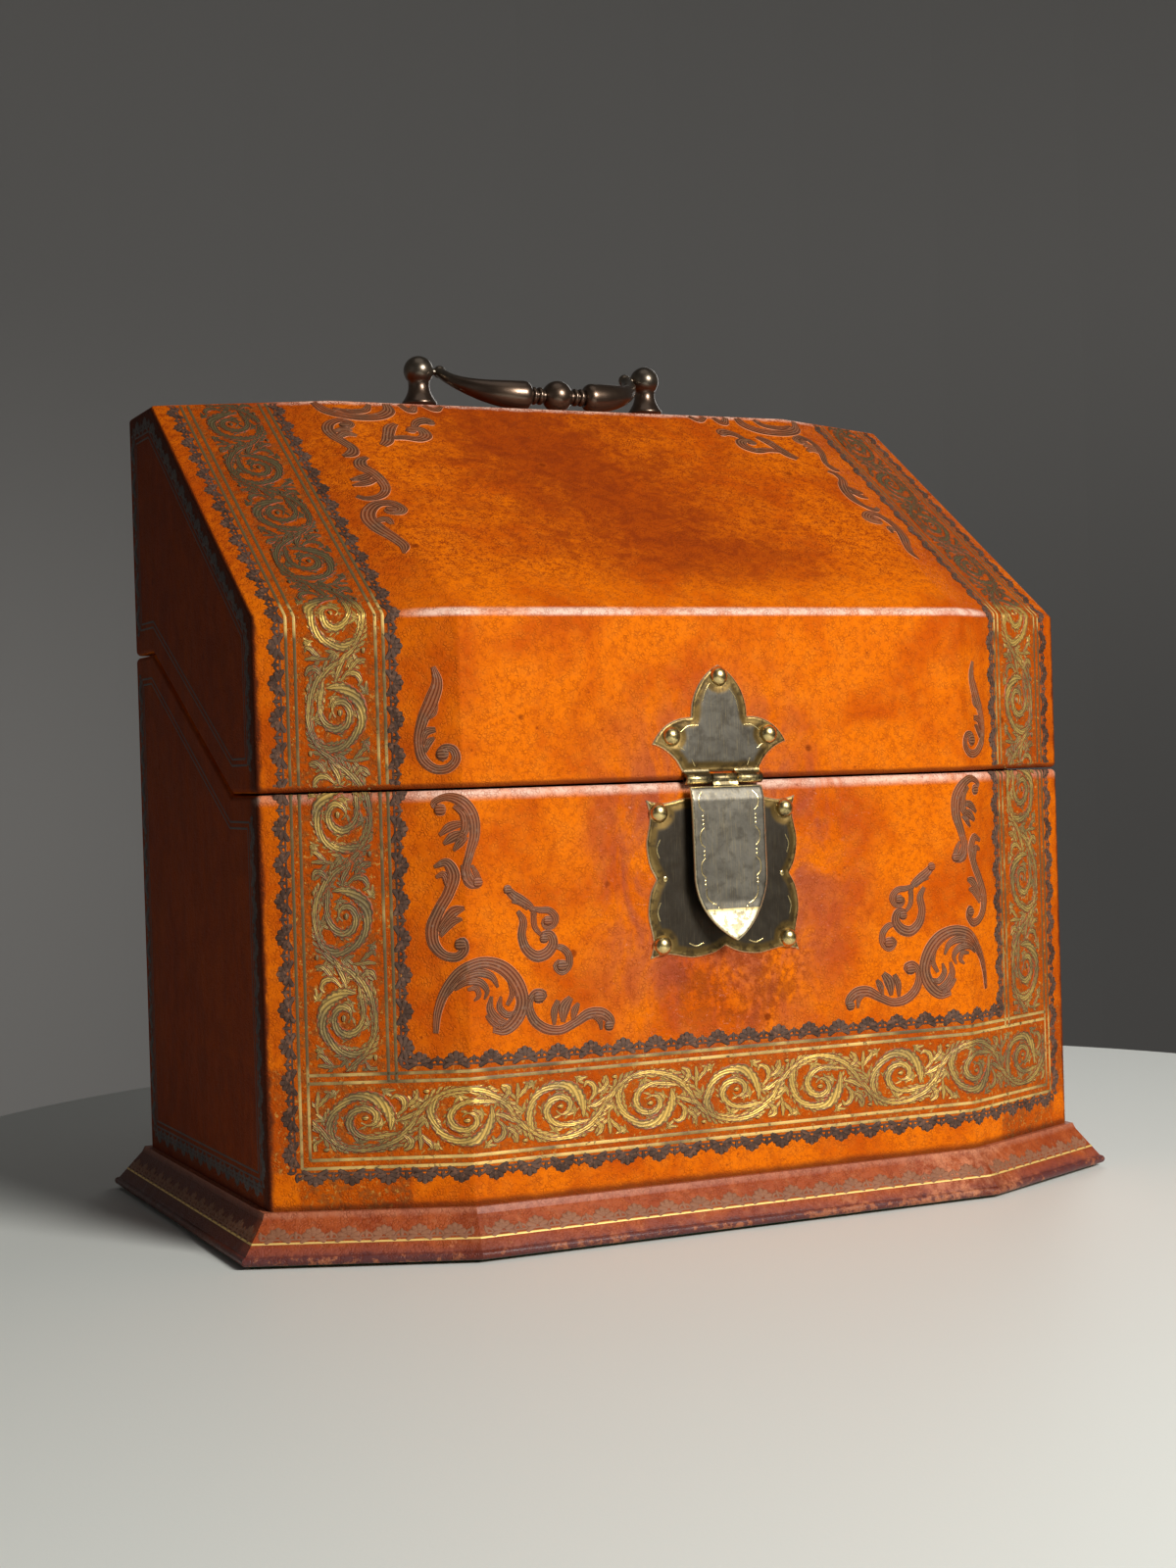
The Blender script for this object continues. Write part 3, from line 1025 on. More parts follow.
# Flourishes of the blind tooling, left of the middle, as rows (u, s, half width) in millimetres
BODY_FLOURISHES = (
    ((-99.3, 138.3, 0.7), (-101.2, 140.2, 0.9), (-97.8, 142.2, 1.0), (-92.8, 141.0, 1.4),
     (-89.2, 136.5, 1.5), (-88.6, 130.5, 1.4), (-90.4, 124.5, 1.2), (-91.6, 119.3, 1.2),
     (-90.4, 115.8, 1.5), (-87.4, 114.6, 0.9)),
    ((-95.0, 139.4, 0.6), (-92.2, 137.2, 1.1), (-91.6, 132.5, 1.2), (-94.2, 128.0, 0.8)),
    ((-99.6, 130.6, 0.6), (-96.4, 133.0, 1.2), (-92.6, 134.0, 0.9)),
    ((-98.4, 127.8, 0.6), (-95.6, 129.8, 1.3), (-92.2, 131.2, 0.8)),
    ((-95.4, 125.6, 0.5), (-93.4, 128.0, 1.1), (-91.2, 129.8, 0.7)),
    ((-93.0, 121.2, 0.5), (-92.2, 117.4, 0.9), (-89.4, 114.0, 0.7)),
    ((-89.8, 121.0, 0.5), (-88.4, 118.2, 0.9), (-87.0, 115.6, 0.6)),
    ((-101.6, 120.8, 0.6), (-97.8, 122.0, 1.2), (-95.8, 118.8, 1.5), (-97.2, 113.0, 1.4),
     (-100.6, 107.2, 1.4), (-102.8, 101.6, 1.5), (-102.2, 96.6, 1.4), (-98.8, 93.2, 1.2),
     (-95.0, 92.9, 1.2), (-92.9, 95.2, 1.2), (-93.6, 97.7, 1.1), (-95.4, 96.9, 0.7)),
    ((-101.2, 117.6, 0.5), (-98.8, 118.4, 1.0), (-97.6, 114.8, 0.7)),
    ((-92.6, 107.8, 0.6), (-95.6, 107.0, 1.3), (-98.4, 104.4, 1.1), (-101.0, 101.0, 0.6)),
    ((-93.4, 104.4, 0.5), (-96.4, 103.8, 1.2), (-100.4, 99.4, 0.7)),
    ((-78.6, 113.6, 1.0), (-76.8, 111.4, 1.2), (-73.6, 109.2, 1.3), (-70.6, 107.2, 1.0),
     (-68.9, 104.0, 0.7)),
    ((-76.8, 109.0, 0.5), (-74.4, 108.6, 0.8), (-71.4, 106.4, 0.6)),
    ((-74.9, 106.0, 0.7), (-73.2, 103.0, 1.1), (-73.8, 98.2, 1.2), (-72.3, 93.8, 1.3), (-68.8, 91.4, 1.4),
     (-64.9, 92.6, 1.4), (-63.1, 95.6, 1.3), (-64.2, 98.2, 1.1), (-66.6, 98.0, 0.9), (-67.0, 96.3, 0.6)),
    ((-70.4, 106.6, 0.7), (-67.4, 105.9, 0.9), (-64.1, 105.5, 1.0), (-62.1, 103.0, 1.1),
     (-63.1, 100.7, 0.9), (-65.6, 100.5, 0.8), (-66.4, 102.3, 0.7), (-65.0, 103.2, 0.5)),
    ((-69.6, 105.0, 0.9), (-69.2, 100.6, 0.9), (-67.0, 97.8, 0.6)),
    ((-63.4, 94.2, 0.6), (-60.2, 93.6, 1.0), (-57.9, 91.0, 1.1), (-58.1, 87.8, 1.1), (-60.5, 86.2, 1.1),
     (-62.4, 88.0, 1.0), (-61.0, 89.7, 0.7)),
    ((-102.6, 69.4, 0.8), (-101.8, 76.0, 1.1), (-98.6, 83.4, 1.3), (-93.6, 88.6, 1.4), (-87.2, 90.6, 1.4),
     (-80.6, 88.6, 1.6), (-75.9, 83.4, 1.7), (-74.2, 77.4, 1.6), (-76.4, 72.4, 1.6), (-80.6, 69.4, 1.4),
     (-84.4, 69.8, 1.0)),
    ((-99.4, 80.2, 0.5), (-94.4, 85.8, 1.0), (-88.4, 87.6, 1.2), (-84.2, 86.0, 1.0), (-82.3, 82.6, 0.5)),
    ((-96.4, 82.6, 0.5), (-92.2, 85.0, 1.0), (-88.0, 84.4, 1.1), (-86.0, 81.6, 0.8), (-87.0, 79.2, 0.4)),
    ((-92.4, 82.6, 0.5), (-89.6, 82.8, 0.9), (-88.8, 80.4, 0.8), (-90.4, 79.0, 0.4)),
    ((-84.6, 80.0, 0.6), (-85.2, 76.2, 1.1), (-83.0, 72.8, 1.2), (-79.6, 71.2, 0.8)),
    ((-81.4, 79.8, 0.5), (-82.0, 76.4, 1.0), (-79.4, 73.8, 1.0), (-76.4, 74.6, 0.6)),
    ((-79.0, 85.4, 0.5), (-77.6, 80.4, 0.9), (-79.4, 76.8, 0.7)),
    ((-86.6, 74.2, 0.5), (-84.4, 72.0, 1.0), (-81.2, 69.6, 0.7)),
    ((-68.2, 77.2, 0.8), (-66.9, 79.3, 1.1), (-69.4, 80.1, 1.1), (-71.7, 77.6, 1.1), (-71.0, 72.4, 1.3),
     (-67.2, 68.9, 1.3), (-61.4, 67.8, 1.2), (-56.2, 69.8, 1.2), (-51.2, 72.2, 1.4), (-46.4, 71.7, 1.4),
     (-43.9, 69.0, 1.2), (-44.8, 66.6, 0.8)),
    ((-63.6, 69.6, 0.6), (-63.4, 74.0, 1.1), (-62.0, 77.2, 0.8)),
    ((-60.6, 70.2, 0.7), (-59.8, 75.0, 1.5), (-57.6, 77.8, 0.9)),
    ((-57.2, 70.6, 0.6), (-56.2, 74.0, 1.1), (-55.0, 75.8, 0.6)),
    ((-50.4, 71.4, 0.5), (-47.8, 69.6, 0.9), (-47.4, 66.9, 0.5)),
)
LID_FLOURISHES = (
    ((-100.0, 182.6, 0.7), (-98.9, 178.2, 1.3), (-100.8, 172.2, 1.6), (-103.8, 166.0, 1.4),
     (-105.2, 159.6, 1.2), (-103.8, 153.8, 1.3), (-100.0, 150.9, 1.2), (-96.0, 151.3, 1.2),
     (-93.7, 154.2, 1.2), (-94.8, 157.1, 1.1), (-97.8, 157.3, 1.0), (-99.1, 155.0, 0.9),
     (-97.4, 153.6, 0.6)),
    ((-99.2, 171.2, 0.5), (-100.4, 168.4, 1.0), (-102.8, 166.4, 0.6)),
    ((-103.9, 158.8, 0.5), (-102.6, 162.6, 1.1), (-99.8, 163.2, 0.8)),
    ((-103.2, 156.2, 0.5), (-101.6, 159.8, 1.0), (-100.2, 160.6, 0.5)),
)
SLOPE_FLOURISHES = (
    ((-97.8, 235.2, 0.4), (-96.4, 239.8, 1.2), (-98.0, 245.0, 1.4), (-101.3, 252.0, 1.6),
     (-102.4, 258.2, 1.5), (-100.4, 264.0, 1.4), (-96.0, 267.9, 1.3), (-91.2, 267.2, 1.3),
     (-89.6, 264.0, 1.2), (-91.6, 261.5, 1.1), (-94.8, 262.6, 1.0), (-94.2, 264.8, 0.6)),
    ((-96.0, 253.8, 0.6), (-97.0, 257.4, 1.2), (-100.2, 256.4, 0.9)),
    ((-102.2, 273.2, 0.8), (-99.5, 271.4, 1.0), (-94.6, 272.6, 1.1), (-91.3, 277.0, 1.1),
     (-90.8, 283.0, 1.3), (-92.3, 289.0, 1.4), (-94.8, 294.0, 1.4), (-93.6, 298.0, 1.2),
     (-90.8, 300.0, 0.7)),
    ((-101.0, 284.2, 0.6), (-96.6, 285.6, 1.3), (-93.0, 288.0, 0.9)),
    ((-101.4, 280.4, 0.5), (-96.8, 281.8, 1.2), (-92.6, 284.0, 0.8)),
    ((-98.8, 301.2, 0.7), (-95.6, 302.7, 1.4), (-94.0, 306.0, 1.2), (-95.7, 311.0, 1.2),
     (-98.0, 316.0, 1.3), (-98.6, 321.0, 1.3), (-96.4, 325.6, 1.2), (-92.0, 327.4, 1.1),
     (-89.4, 325.2, 1.0), (-91.2, 322.3, 0.9), (-93.8, 323.2, 0.6)),
    ((-89.8, 315.8, 0.7), (-93.4, 317.4, 1.3), (-96.4, 315.0, 0.9)),
    ((-90.4, 319.8, 0.6), (-94.0, 320.3, 1.1), (-97.0, 319.0, 0.7)),
    ((-82.4, 309.2, 1.0), (-80.0, 312.0, 1.3), (-77.6, 318.0, 1.3), (-75.0, 323.6, 1.3),
     (-72.4, 326.0, 0.8)),
    ((-78.2, 314.6, 0.8), (-72.2, 315.6, 1.2), (-67.0, 314.8, 1.3), (-63.6, 318.0, 1.4),
     (-64.2, 322.0, 1.3), (-67.6, 322.6, 1.1), (-69.8, 320.2, 0.7)),
    ((-66.6, 323.4, 0.8), (-63.4, 328.0, 1.3), (-59.8, 329.2, 1.6), (-58.2, 326.6, 1.0)),
    ((-98.2, 341.4, 0.9), (-95.6, 335.2, 1.4), (-90.0, 331.3, 1.5), (-83.0, 330.2, 1.5),
     (-76.2, 331.8, 1.5), (-71.8, 336.2, 1.4), (-71.2, 341.4, 1.0)),
    ((-92.6, 336.4, 0.5), (-87.0, 334.6, 1.1), (-80.6, 336.0, 1.1), (-78.0, 340.6, 0.7)),
    ((-66.4, 341.4, 0.8), (-63.2, 336.6, 1.2), (-60.6, 341.0, 0.8)),
    ((-57.2, 341.2, 0.8), (-53.4, 338.2, 1.1), (-50.2, 341.2, 0.7)),
)


def straight(start, end, width, step=0.8):
    """A ruled line between two points, with enough rows to follow the folds under it."""
    (x0, y0), (x1, y1) = start, end
    count = max(2, int(math.hypot(x1 - x0, y1 - y0) / step))
    return [(x0 + (x1 - x0) * k / count, y0 + (y1 - y0) * k / count, width) for k in range(count + 1)]


def run_of(tools, start, end, pitch, swap=False, flip=False):
    """Stamps tools in turn, end to end along a line, in whole pitches fitted to its length."""
    start, end = np.array(start, float), np.array(end, float)
    reach = np.linalg.norm(end - start)
    along = (end - start) / reach
    count = max(1, int(round(reach / pitch)))
    fitted = []
    for tool in tools:
        points, faces, places = tool.whole()
        fitted.append(Tooling(points * np.array([reach / count / pitch, 1, 1]), faces, places))
    made = Tooling()
    for k in range(count):
        over = (swap and k % 2 == 1) != flip
        made.stamp(fitted[k % len(fitted)], along, start + along * reach * (k + 0.5) / count, over)
    return made


# Where the bands lie, as distances along u and s in millimetres, and half the width of their ruled lines
OUTER_LACE, OUTER_LINES = -146.9, (-145.2, -142.6)
SCROLL_BAND = (-140.0, -120.0)
INNER_LINES, INNER_LACE = (-117.6, -115.2), -113.7
FOOT_LACE, FOOT_LINES = 27.4, (28.6, 31.2)
FOOT_BAND = (33.0, 53.0)
UPPER_LINES, UPPER_LACE = (54.9, 57.4), 59.4
UPRIGHT_RULE, LEVEL_RULE = 0.62, 0.66


def both_bodies(strokes, name, finish_name):
    """Cuts the strokes at the seam, so that each half moves with its own leather."""
    for body, low, high in (("box", 0.0, BODY_TOP), ("lid", LID_FOOT, SLOPE_END)):
        part = strokes.trimmed(1, low, high)
        if len(part.whole()[1]):
            part.piece("%s_%s" % (name, body), on_front, finish_name, "tooled_leather", body)


# Finishes of the frame's nodes, by slot, and by node where one slot has several
SLOT_FINISHES = {"tooled_leather": "leather", "plinth_leather": "plinth", "carcase_wood": "board",
                 "base_felt": "felt", "lining_paper": "paper", "bronze": "bronze", "brass": "brass",
                 "fixing_steel": "steel"}
RACK_FINISHES = {"rack_side_left": "rack_side", "rack_side_right": "rack_side", "divider_1": "rack",
                 "divider_2": "rack", "divider_3": "rack"}


class LETTERBOX_OT_case(bpy.types.Operator):
    """Finish the leather, boards, rack, lining and felt of the frame"""

    bl_idname = "letterbox.case"
    bl_label = "Case"

    def execute(self, context):
        for row in frame["record"]["subparts"]:
            dress(row["node"], RACK_FINISHES.get(row["node"]) or SLOT_FINISHES[row["material_slot"]])
        return {"FINISHED"}


class LETTERBOX_OT_bands(bpy.types.Operator):
    """Press the gold scroll bands and their ruled lines into the front"""

    bl_idname = "letterbox.bands"
    bl_label = "Gold bands"

    def execute(self, context):
        pitch = settings().tooling.scroll_pitch / MM
        tools = [scroll_tool(pitch, seed) for seed in SCROLL_SEEDS]
        middle, foot = sum(SCROLL_BAND) / 2, sum(FOOT_BAND) / 2
        low, side = UPPER_LINES[1], OUTER_LINES[1]
        upright = run_of(tools, (middle, low + 1.2), (middle, SLOPE_END), pitch, swap=True)
        both_bodies(upright.trimmed(1, low + 1.0, SLOPE_END).mirrored(), "gold_scrolls_upright", "gold")
        level = run_of(tools, (side + 1.2, foot), (-side - 1.2, foot), pitch, swap=True)
        both_bodies(level.trimmed(0, side + 1.0, -side - 1.0), "gold_scrolls_foot", "gold")
        both_bodies(ruled_lines(), "gold_lines", "ruled")
        return {"FINISHED"}


def ruled_lines():
    """The pairs of lines on both sides of the scroll bands."""
    made = Tooling()
    for u, low in (*zip(OUTER_LINES, FOOT_LINES), *((u, UPPER_LINES[0]) for u in INNER_LINES)):
        made.stroke(straight((u, low), (u, SLOPE_END), UPRIGHT_RULE), LINE, 0.8)
    made = made.mirrored()
    for s in FOOT_LINES + UPPER_LINES:
        reach = OUTER_LINES[0] if s == FOOT_LINES[0] else OUTER_LINES[1]
        made.stroke(straight((reach, s), (-reach, s), LEVEL_RULE), LINE, 0.8)
    return made


class LETTERBOX_OT_edgings(bpy.types.Operator):
    """Press the dark palmette edgings that run beside the gold bands"""

    bl_idname = "letterbox.edgings"
    bl_label = "Palmette edgings"

    def execute(self, context):
        pitch = settings().tooling.palmette_pitch / MM
        tools = [palmette_tool(pitch)]
        outer = run_of(tools, (OUTER_LACE, FOOT_LACE), (OUTER_LACE, SLOPE_END), pitch)
        inner = run_of(tools, (INNER_LACE, SLOPE_END), (INNER_LACE, UPPER_LACE), pitch)
        foot = run_of(tools, (-OUTER_LACE, FOOT_LACE), (OUTER_LACE, FOOT_LACE), pitch)
        upper = run_of(tools, (INNER_LACE, UPPER_LACE), (-INNER_LACE, UPPER_LACE), pitch)
        both_bodies(merged(merged(outer, inner).mirrored(), foot, upper), "palmette_edging", "lace")
        return {"FINISHED"}


class LETTERBOX_OT_flourishes(bpy.types.Operator):
    """Press the blind leaf scrolls into the corners of the front and the slope"""

    bl_idname = "letterbox.flourishes"
    bl_label = "Blind flourishes"

    def execute(self, context):
        for name, lines, body, fuller in (("body", BODY_FLOURISHES, "box", 1.08),
                                          ("lid", LID_FLOURISHES, "lid", 1.08),
                                          ("slope", SLOPE_FLOURISHES, "lid", 1.4)):
            made = Tooling()
            made.strokes([[(x, y, swelled(w) * fuller) for x, y, w in line] for line in lines],
                         profile=PRESSED, step=0.7)
            for spot in KNOBS[name]:
                made.stroke(knob(*spot), KNOB, 0.35, 0.05)
            made.mirrored().piece("flourishes_" + name, on_front, "blind", "tooled_leather", body)
        return {"FINISHED"}


# The borders of the flat faces: how far in their lines and palmettes lie, and half the width of a line
SIDE_INSETS, REAR_INSETS, TOP_INSETS, LACE_INSET = (8.6, 10.6), (9.0, 11.0, 16.0), (4.6, 6.6), 7.2
BORDER_RULE = 0.42


def inset_corner(corners, k, inset):
    """The k-th corner of a counter-clockwise outline, moved in by the inset from both its edges."""
    before, here, after = (np.array(corners[i % len(corners)], float) for i in (k - 1, k, k + 1))
    a, b = [np.array([-v[1], v[0]]) / np.linalg.norm(v) for v in (here - before, after - here)]
    inward = (a + b) / np.linalg.norm(a + b)
    return here + inward * inset / inward.dot(a)


def inset_edges(corners, inset):
    """The ends of each edge of an outline moved in by the inset."""
    ring = [inset_corner(corners, k, inset) for k in range(len(corners))]
    return list(zip(ring, ring[1:] + ring[:1]))


def framed(corners, insets):
    """Ruled lines parallel to the edges of a flat outline, with their corners mitred."""
    made = Tooling()
    for inset in insets:
        for start, end in inset_edges(corners, inset):
            made.stroke(straight(start, end, BORDER_RULE, 2.0), LINE, 2.0)
    return made


def edged(corners, tool, pitch, skip):
    """Palmettes on an inset line that point to the edges of the outline, but for the edges to skip."""
    edges = inset_edges(corners, LACE_INSET)
    return merged(*(run_of([tool], *edges[k], pitch, flip=True) for k in range(len(edges)) if k not in skip))


# Where the side seam bends up to the hinge, and its height at the back
SEAM_BENDS = (-33.1, 62.6)
HINGE_Z = 195.3
LID_Z = SEAM_Z + SEAM_GAP
LID_REAR_Z = HINGE_Z + SEAM_GAP

# Faces of the sides, seen from outside, as (distance ahead of the middle, height), and of the back, the top
# and the plan, all counter-clockwise
BODY_SIDE = ((-BACK_Y, SHELF_Z), (-CORNER_Y, SHELF_Z), (-CORNER_Y, SEAM_Z), (-SEAM_BENDS[0], SEAM_Z),
             (-SEAM_BENDS[1], HINGE_Z), (-BACK_Y, HINGE_Z))
LID_SIDE = ((-BACK_Y, LID_REAR_Z), (-SEAM_BENDS[1], LID_REAR_Z), (-SEAM_BENDS[0], LID_Z), (-CORNER_Y, LID_Z),
            (-CORNER_Y, FOLD_Z), (-CORNER_Y - SLOPE_RUN, TOP_Z), (-BACK_Y, TOP_Z))
BODY_REAR = ((-SIDE_X, SHELF_Z), (SIDE_X, SHELF_Z), (SIDE_X, HINGE_Z), (-SIDE_X, HINGE_Z))
LID_REAR = ((-SIDE_X, LID_REAR_Z), (SIDE_X, LID_REAR_Z), (SIDE_X, TOP_Z), (-SIDE_X, TOP_Z))
PLAN = ((-FACET, FRONT_Y), (FACET, FRONT_Y), (SIDE_X, CORNER_Y), (SIDE_X, BACK_Y), (-SIDE_X, BACK_Y),
        (-SIDE_X, CORNER_Y))
TOP_FACE = tuple((x, y if y == BACK_Y else y + SLOPE_RUN) for x, y in PLAN)

# The bevel of the plinth's moulding: its middle's distance from the plan and height, its run, rise and width
BEVEL_OUT, BEVEL_Z, BEVEL_RUN, BEVEL_RISE, BEVEL = 7.4, 7.25, 7.1, 9.8, 12.1


def plinth_tooling(lace, pitch):
    """Palmettes and a gold line along the moulding's bevel."""
    for k, (start, end) in enumerate(inset_edges(PLAN, -BEVEL_OUT), 1):
        reach = np.linalg.norm(end - start)
        x, y = (end - start) / reach
        up = (-y * BEVEL_RUN / BEVEL, x * BEVEL_RUN / BEVEL, BEVEL_RISE / BEVEL)
        place = on_plane((*start, BEVEL_Z), (x, y, 0), up)
        edging = run_of([lace], (2.5, 0.9), (reach - 2.5, 0.9), pitch)
        edging.piece("plinth_edging_%d" % k, place, "plinth_lace", "plinth_leather", "box")
        line = Tooling()
        line.stroke(straight((0, 0), (reach, 0), 0.45, 4.0), LINE, 4.0)
        line.piece("plinth_line_%d" % k, place, "ruled", "plinth_leather", "box")


class LETTERBOX_OT_borders(bpy.types.Operator):
    """Press the dark borders into the sides, the back, the top and the plinth"""

    bl_idname = "letterbox.borders"
    bl_label = "Blind borders"

    def execute(self, context):
        pitch = settings().tooling.palmette_pitch / MM
        lace = palmette_tool(pitch)
        up = (0, 0, 1)
        for body, corners, skip in (("box", BODY_SIDE, (2, 3, 4)), ("lid", LID_SIDE, (0, 1, 2))):
            border = merged(framed(corners, SIDE_INSETS), edged(corners, lace, pitch, skip))
            for side, hand, strokes in ((-1, "left", border), (1, "right", border.turned_over())):
                place = on_plane((side * SIDE_X, 0, 0), (0, side, 0), up)
                strokes.piece("side_border_%s_%s" % (body, hand), place, "border", "tooled_leather", body)
        behind = on_plane((0, BACK_Y, 0), (-1, 0, 0), up)
        above = on_plane((0, 0, TOP_Z), (1, 0, 0), (0, 1, 0))
        for name, corners, insets, place, body in (
                ("back_border_box", BODY_REAR, REAR_INSETS, behind, "box"),
                ("back_border_lid", LID_REAR, REAR_INSETS, behind, "lid"),
                ("top_border", TOP_FACE, TOP_INSETS, above, "lid")):
            framed(corners, insets).piece(name, place, "border", "tooled_leather", body)
        plinth_tooling(lace, pitch)
        return {"FINISHED"}


# The hasp. Its points are (distance to the right of its middle, height, distance from the leather).
HASP_X = -2.0
CATCH_SLOT = (2.6, 110.6, 121.4)
NAIL, NAIL_RISE, NAIL_FOOT = 3.0, 2.3, 0.86
UPPER_NAILS = ((0.0, 178.4), (-17.8, 159.3), (17.8, 159.3))
LOWER_NAILS = tuple((side * 23.1, z) for side in (-1, 1) for z in (134.8, 92.2))
UPPER_PLATE_FOOT = (13.9, 147.4)
LOWER_PLATE_HALF, LOWER_PLATE_HIGH, LOWER_PLATE_LOW = 27.3, 139.0, 88.0
STRAP_HALF, STRAP_TOP, STRAP_ARCH, STRAP_TIP, STRAP_BOW = 13.2, 142.8, 113.5, 93.0, 3.1691
STRAP_THICK = 1.2
PIN_Z, PIN_OUT, KNUCKLE_R = 145.2, 2.05, 1.75
OUTER_KNUCKLES, MIDDLE_KNUCKLE = ((-13.9, -4.75), (4.75, 13.9)), ((-4.5, 4.5),)
LIP_SECTION = ((148.3, 0.98), (147.7, 1.20), (147.3, 1.50), (147.05, 2.00), (146.84, 2.65), (146.5, 1.4),
               (147.2, 0.4), (148.3, 0.5))
TONGUE_SECTION = ((142.2, 3.55), (143.2, 3.72), (144.2, 3.50), (144.7, 2.60), (143.7, 2.30), (142.2, 2.60))
on_hasp = on_plane((HASP_X, FRONT_Y, 0), (1, 0, 0), (0, 0, 1))


def arc(start, end, bow, count=14):
    """Points on the arc between two points, bowed to the left of the way from one to the other."""
    (x0, y0), (x1, y1) = start, end
    chord = math.hypot(x1 - x0, y1 - y0)
    ahead = ((x1 - x0) / chord, (y1 - y0) / chord)
    half = 2 * math.atan(2 * bow / chord)
    radius = chord / (2 * math.sin(half))
    points = []
    for k in range(count + 1):
        turn = half * (2 * k / count - 1)
        along = chord / 2 + radius * math.sin(turn)
        aside = radius * (math.cos(turn) - math.cos(half))
        points.append((x0 + ahead[0] * along - ahead[1] * aside, y0 + ahead[1] * along + ahead[0] * aside))
    return points


def with_mirror(half):
    """Closes half an outline, which starts and ends on the middle line, with its mirror image."""
    return half + [(-x, y) for x, y in half[-2:0:-1]]


def upper_plate_outline():
    """A trefoil: a pointed top lobe and two side lobes over a straight foot."""
    tip, notch, lobe_tip = (0, 182.3), (10.3, 165.3), (24.6, 156.8)
    half = arc(tip, notch, 2.9, 18) + arc(notch, lobe_tip, 2.6, 16)[1:]
    half += arc(lobe_tip, UPPER_PLATE_FOOT, -1.7, 14)[1:]
    return with_mirror(half + [(x, UPPER_PLATE_FOOT[1]) for x in np.linspace(UPPER_PLATE_FOOT[0], 0, 20)[1:]])


def lobed_side(corner, middle, outward):
    """Half of one side of the lower plate: a shallow neck, then a full lobe that ends in a cusp."""
    rows = [(0, 0), (0.16, -1.0), (0.60, 0.4), (0.87, -1.0), (1, -2.8)]
    points = [(corner[0] + (middle[0] - corner[0]) * a + outward[0] * b,
               corner[1] + (middle[1] - corner[1]) * a + outward[1] * b, 0) for a, b in rows]
    return [(x, y) for x, y, _ in smooth_line(points, 0.7)]


def lower_plate_outline():
    """A square with a lobe on each half of each side."""
    half, high, low = LOWER_PLATE_HALF, LOWER_PLATE_HIGH, LOWER_PLATE_LOW
    middle = (high + low) / 2
    top = lobed_side((half, high), (0, high), (0, 1))[::-1]
    upper = lobed_side((half, high), (half, middle), (1, 0))[1:]
    lower = lobed_side((half, low), (half, middle), (1, 0))[::-1][1:]
    foot = lobed_side((half, low), (0, low), (0, -1))[1:]
    return with_mirror(top + upper + lower + foot)


def strap_outline():
    """A straight strap that ends in a pointed arch."""
    half = [(x, STRAP_TOP) for x in np.linspace(0, STRAP_HALF, 18)]
    half += [(STRAP_HALF, z) for z in np.linspace(STRAP_TOP, STRAP_ARCH, 38)[1:]]
    return with_mirror(half + arc((STRAP_HALF, STRAP_ARCH), (0.0, STRAP_TIP), STRAP_BOW, 30)[1:])


def edge_distance(points, outline):
    """How far each point is from the nearest edge of a closed outline."""
    a = np.array(outline)
    b = np.roll(a, -1, axis=0)
    ab = b - a
    gap = points[:, None] - a[None]
    t = np.clip((gap * ab).sum(-1) / (ab ** 2).sum(-1), 0, 1)
    return np.linalg.norm(gap - t[..., None] * ab, axis=-1).min(1)


def sheet(outline, spacing, hole=()):
    """Points and triangles that fill an outline evenly, but for a four-sided hole."""
    ring = np.array(outline)
    low, high = ring.min(0), ring.max(0)
    x, y = np.meshgrid(np.arange(low[0], high[0], spacing), np.arange(low[1], high[1], spacing * 0.87))
    x[1::2] += spacing / 2
    grid = np.stack([x.ravel(), y.ravel()], -1)
    grid = grid[edge_distance(grid, outline) > spacing * 0.45]
    count = len(ring)
    edges = [(k, (k + 1) % count) for k in range(count)]
    given = [ring, grid]
    if hole:
        cut = np.array(hole)
        edges += [(count + k, count + (k + 1) % len(cut)) for k in range(len(cut))]
        given = [ring, cut, grid[within(grid, hole, spacing * 0.45)]]
    spots, _, faces, *_ = delaunay_2d_cdt([Vector(v) for v in np.concatenate(given)], edges, [], 1, 1e-5)
    points = np.array([tuple(v) for v in spots])
    faces = [list(face) for face in faces]
    if hole:
        middles = np.array([points[face].mean(0) for face in faces])
        faces = [face for face, keep in zip(faces, within(middles, hole, 0.0)) if keep]
    return points, faces


def within(points, hole, margin):
    """Which points lie outside an upright slot by more than a margin."""
    cut = np.array(hole)
    low, high = cut.min(0) - margin, cut.max(0) + margin
    return ((points < low) | (points > high)).any(1)


def slot_outline(half, low, high, step=0.6):
    """An upright slot, as points along its four sides."""
    corners = ((half, low), (half, high), (-half, high), (-half, low))
    points = []
    for (x0, z0), (x1, z1) in zip(corners, corners[1:] + corners[:1]):
        count = int(round(math.hypot(x1 - x0, z1 - z0) / step))
        points += [(x0 + (x1 - x0) * k / count, z0 + (z1 - z0) * k / count) for k in range(count)]
    return points


def rising(t, start, end):
    """0 before start and 1 after end, smoothly. With start above end it falls instead."""
    t = np.clip((t - start) / (end - start), 0, 1)
    return t * t * (3 - 2 * t)


def skirt(first, under, count):
    """Faces between a ring of points and the ring under it, by the number of the first point of each."""
    return [[first + k, under + k, under + (k + 1) % count, first + (k + 1) % count] for k in range(count)]


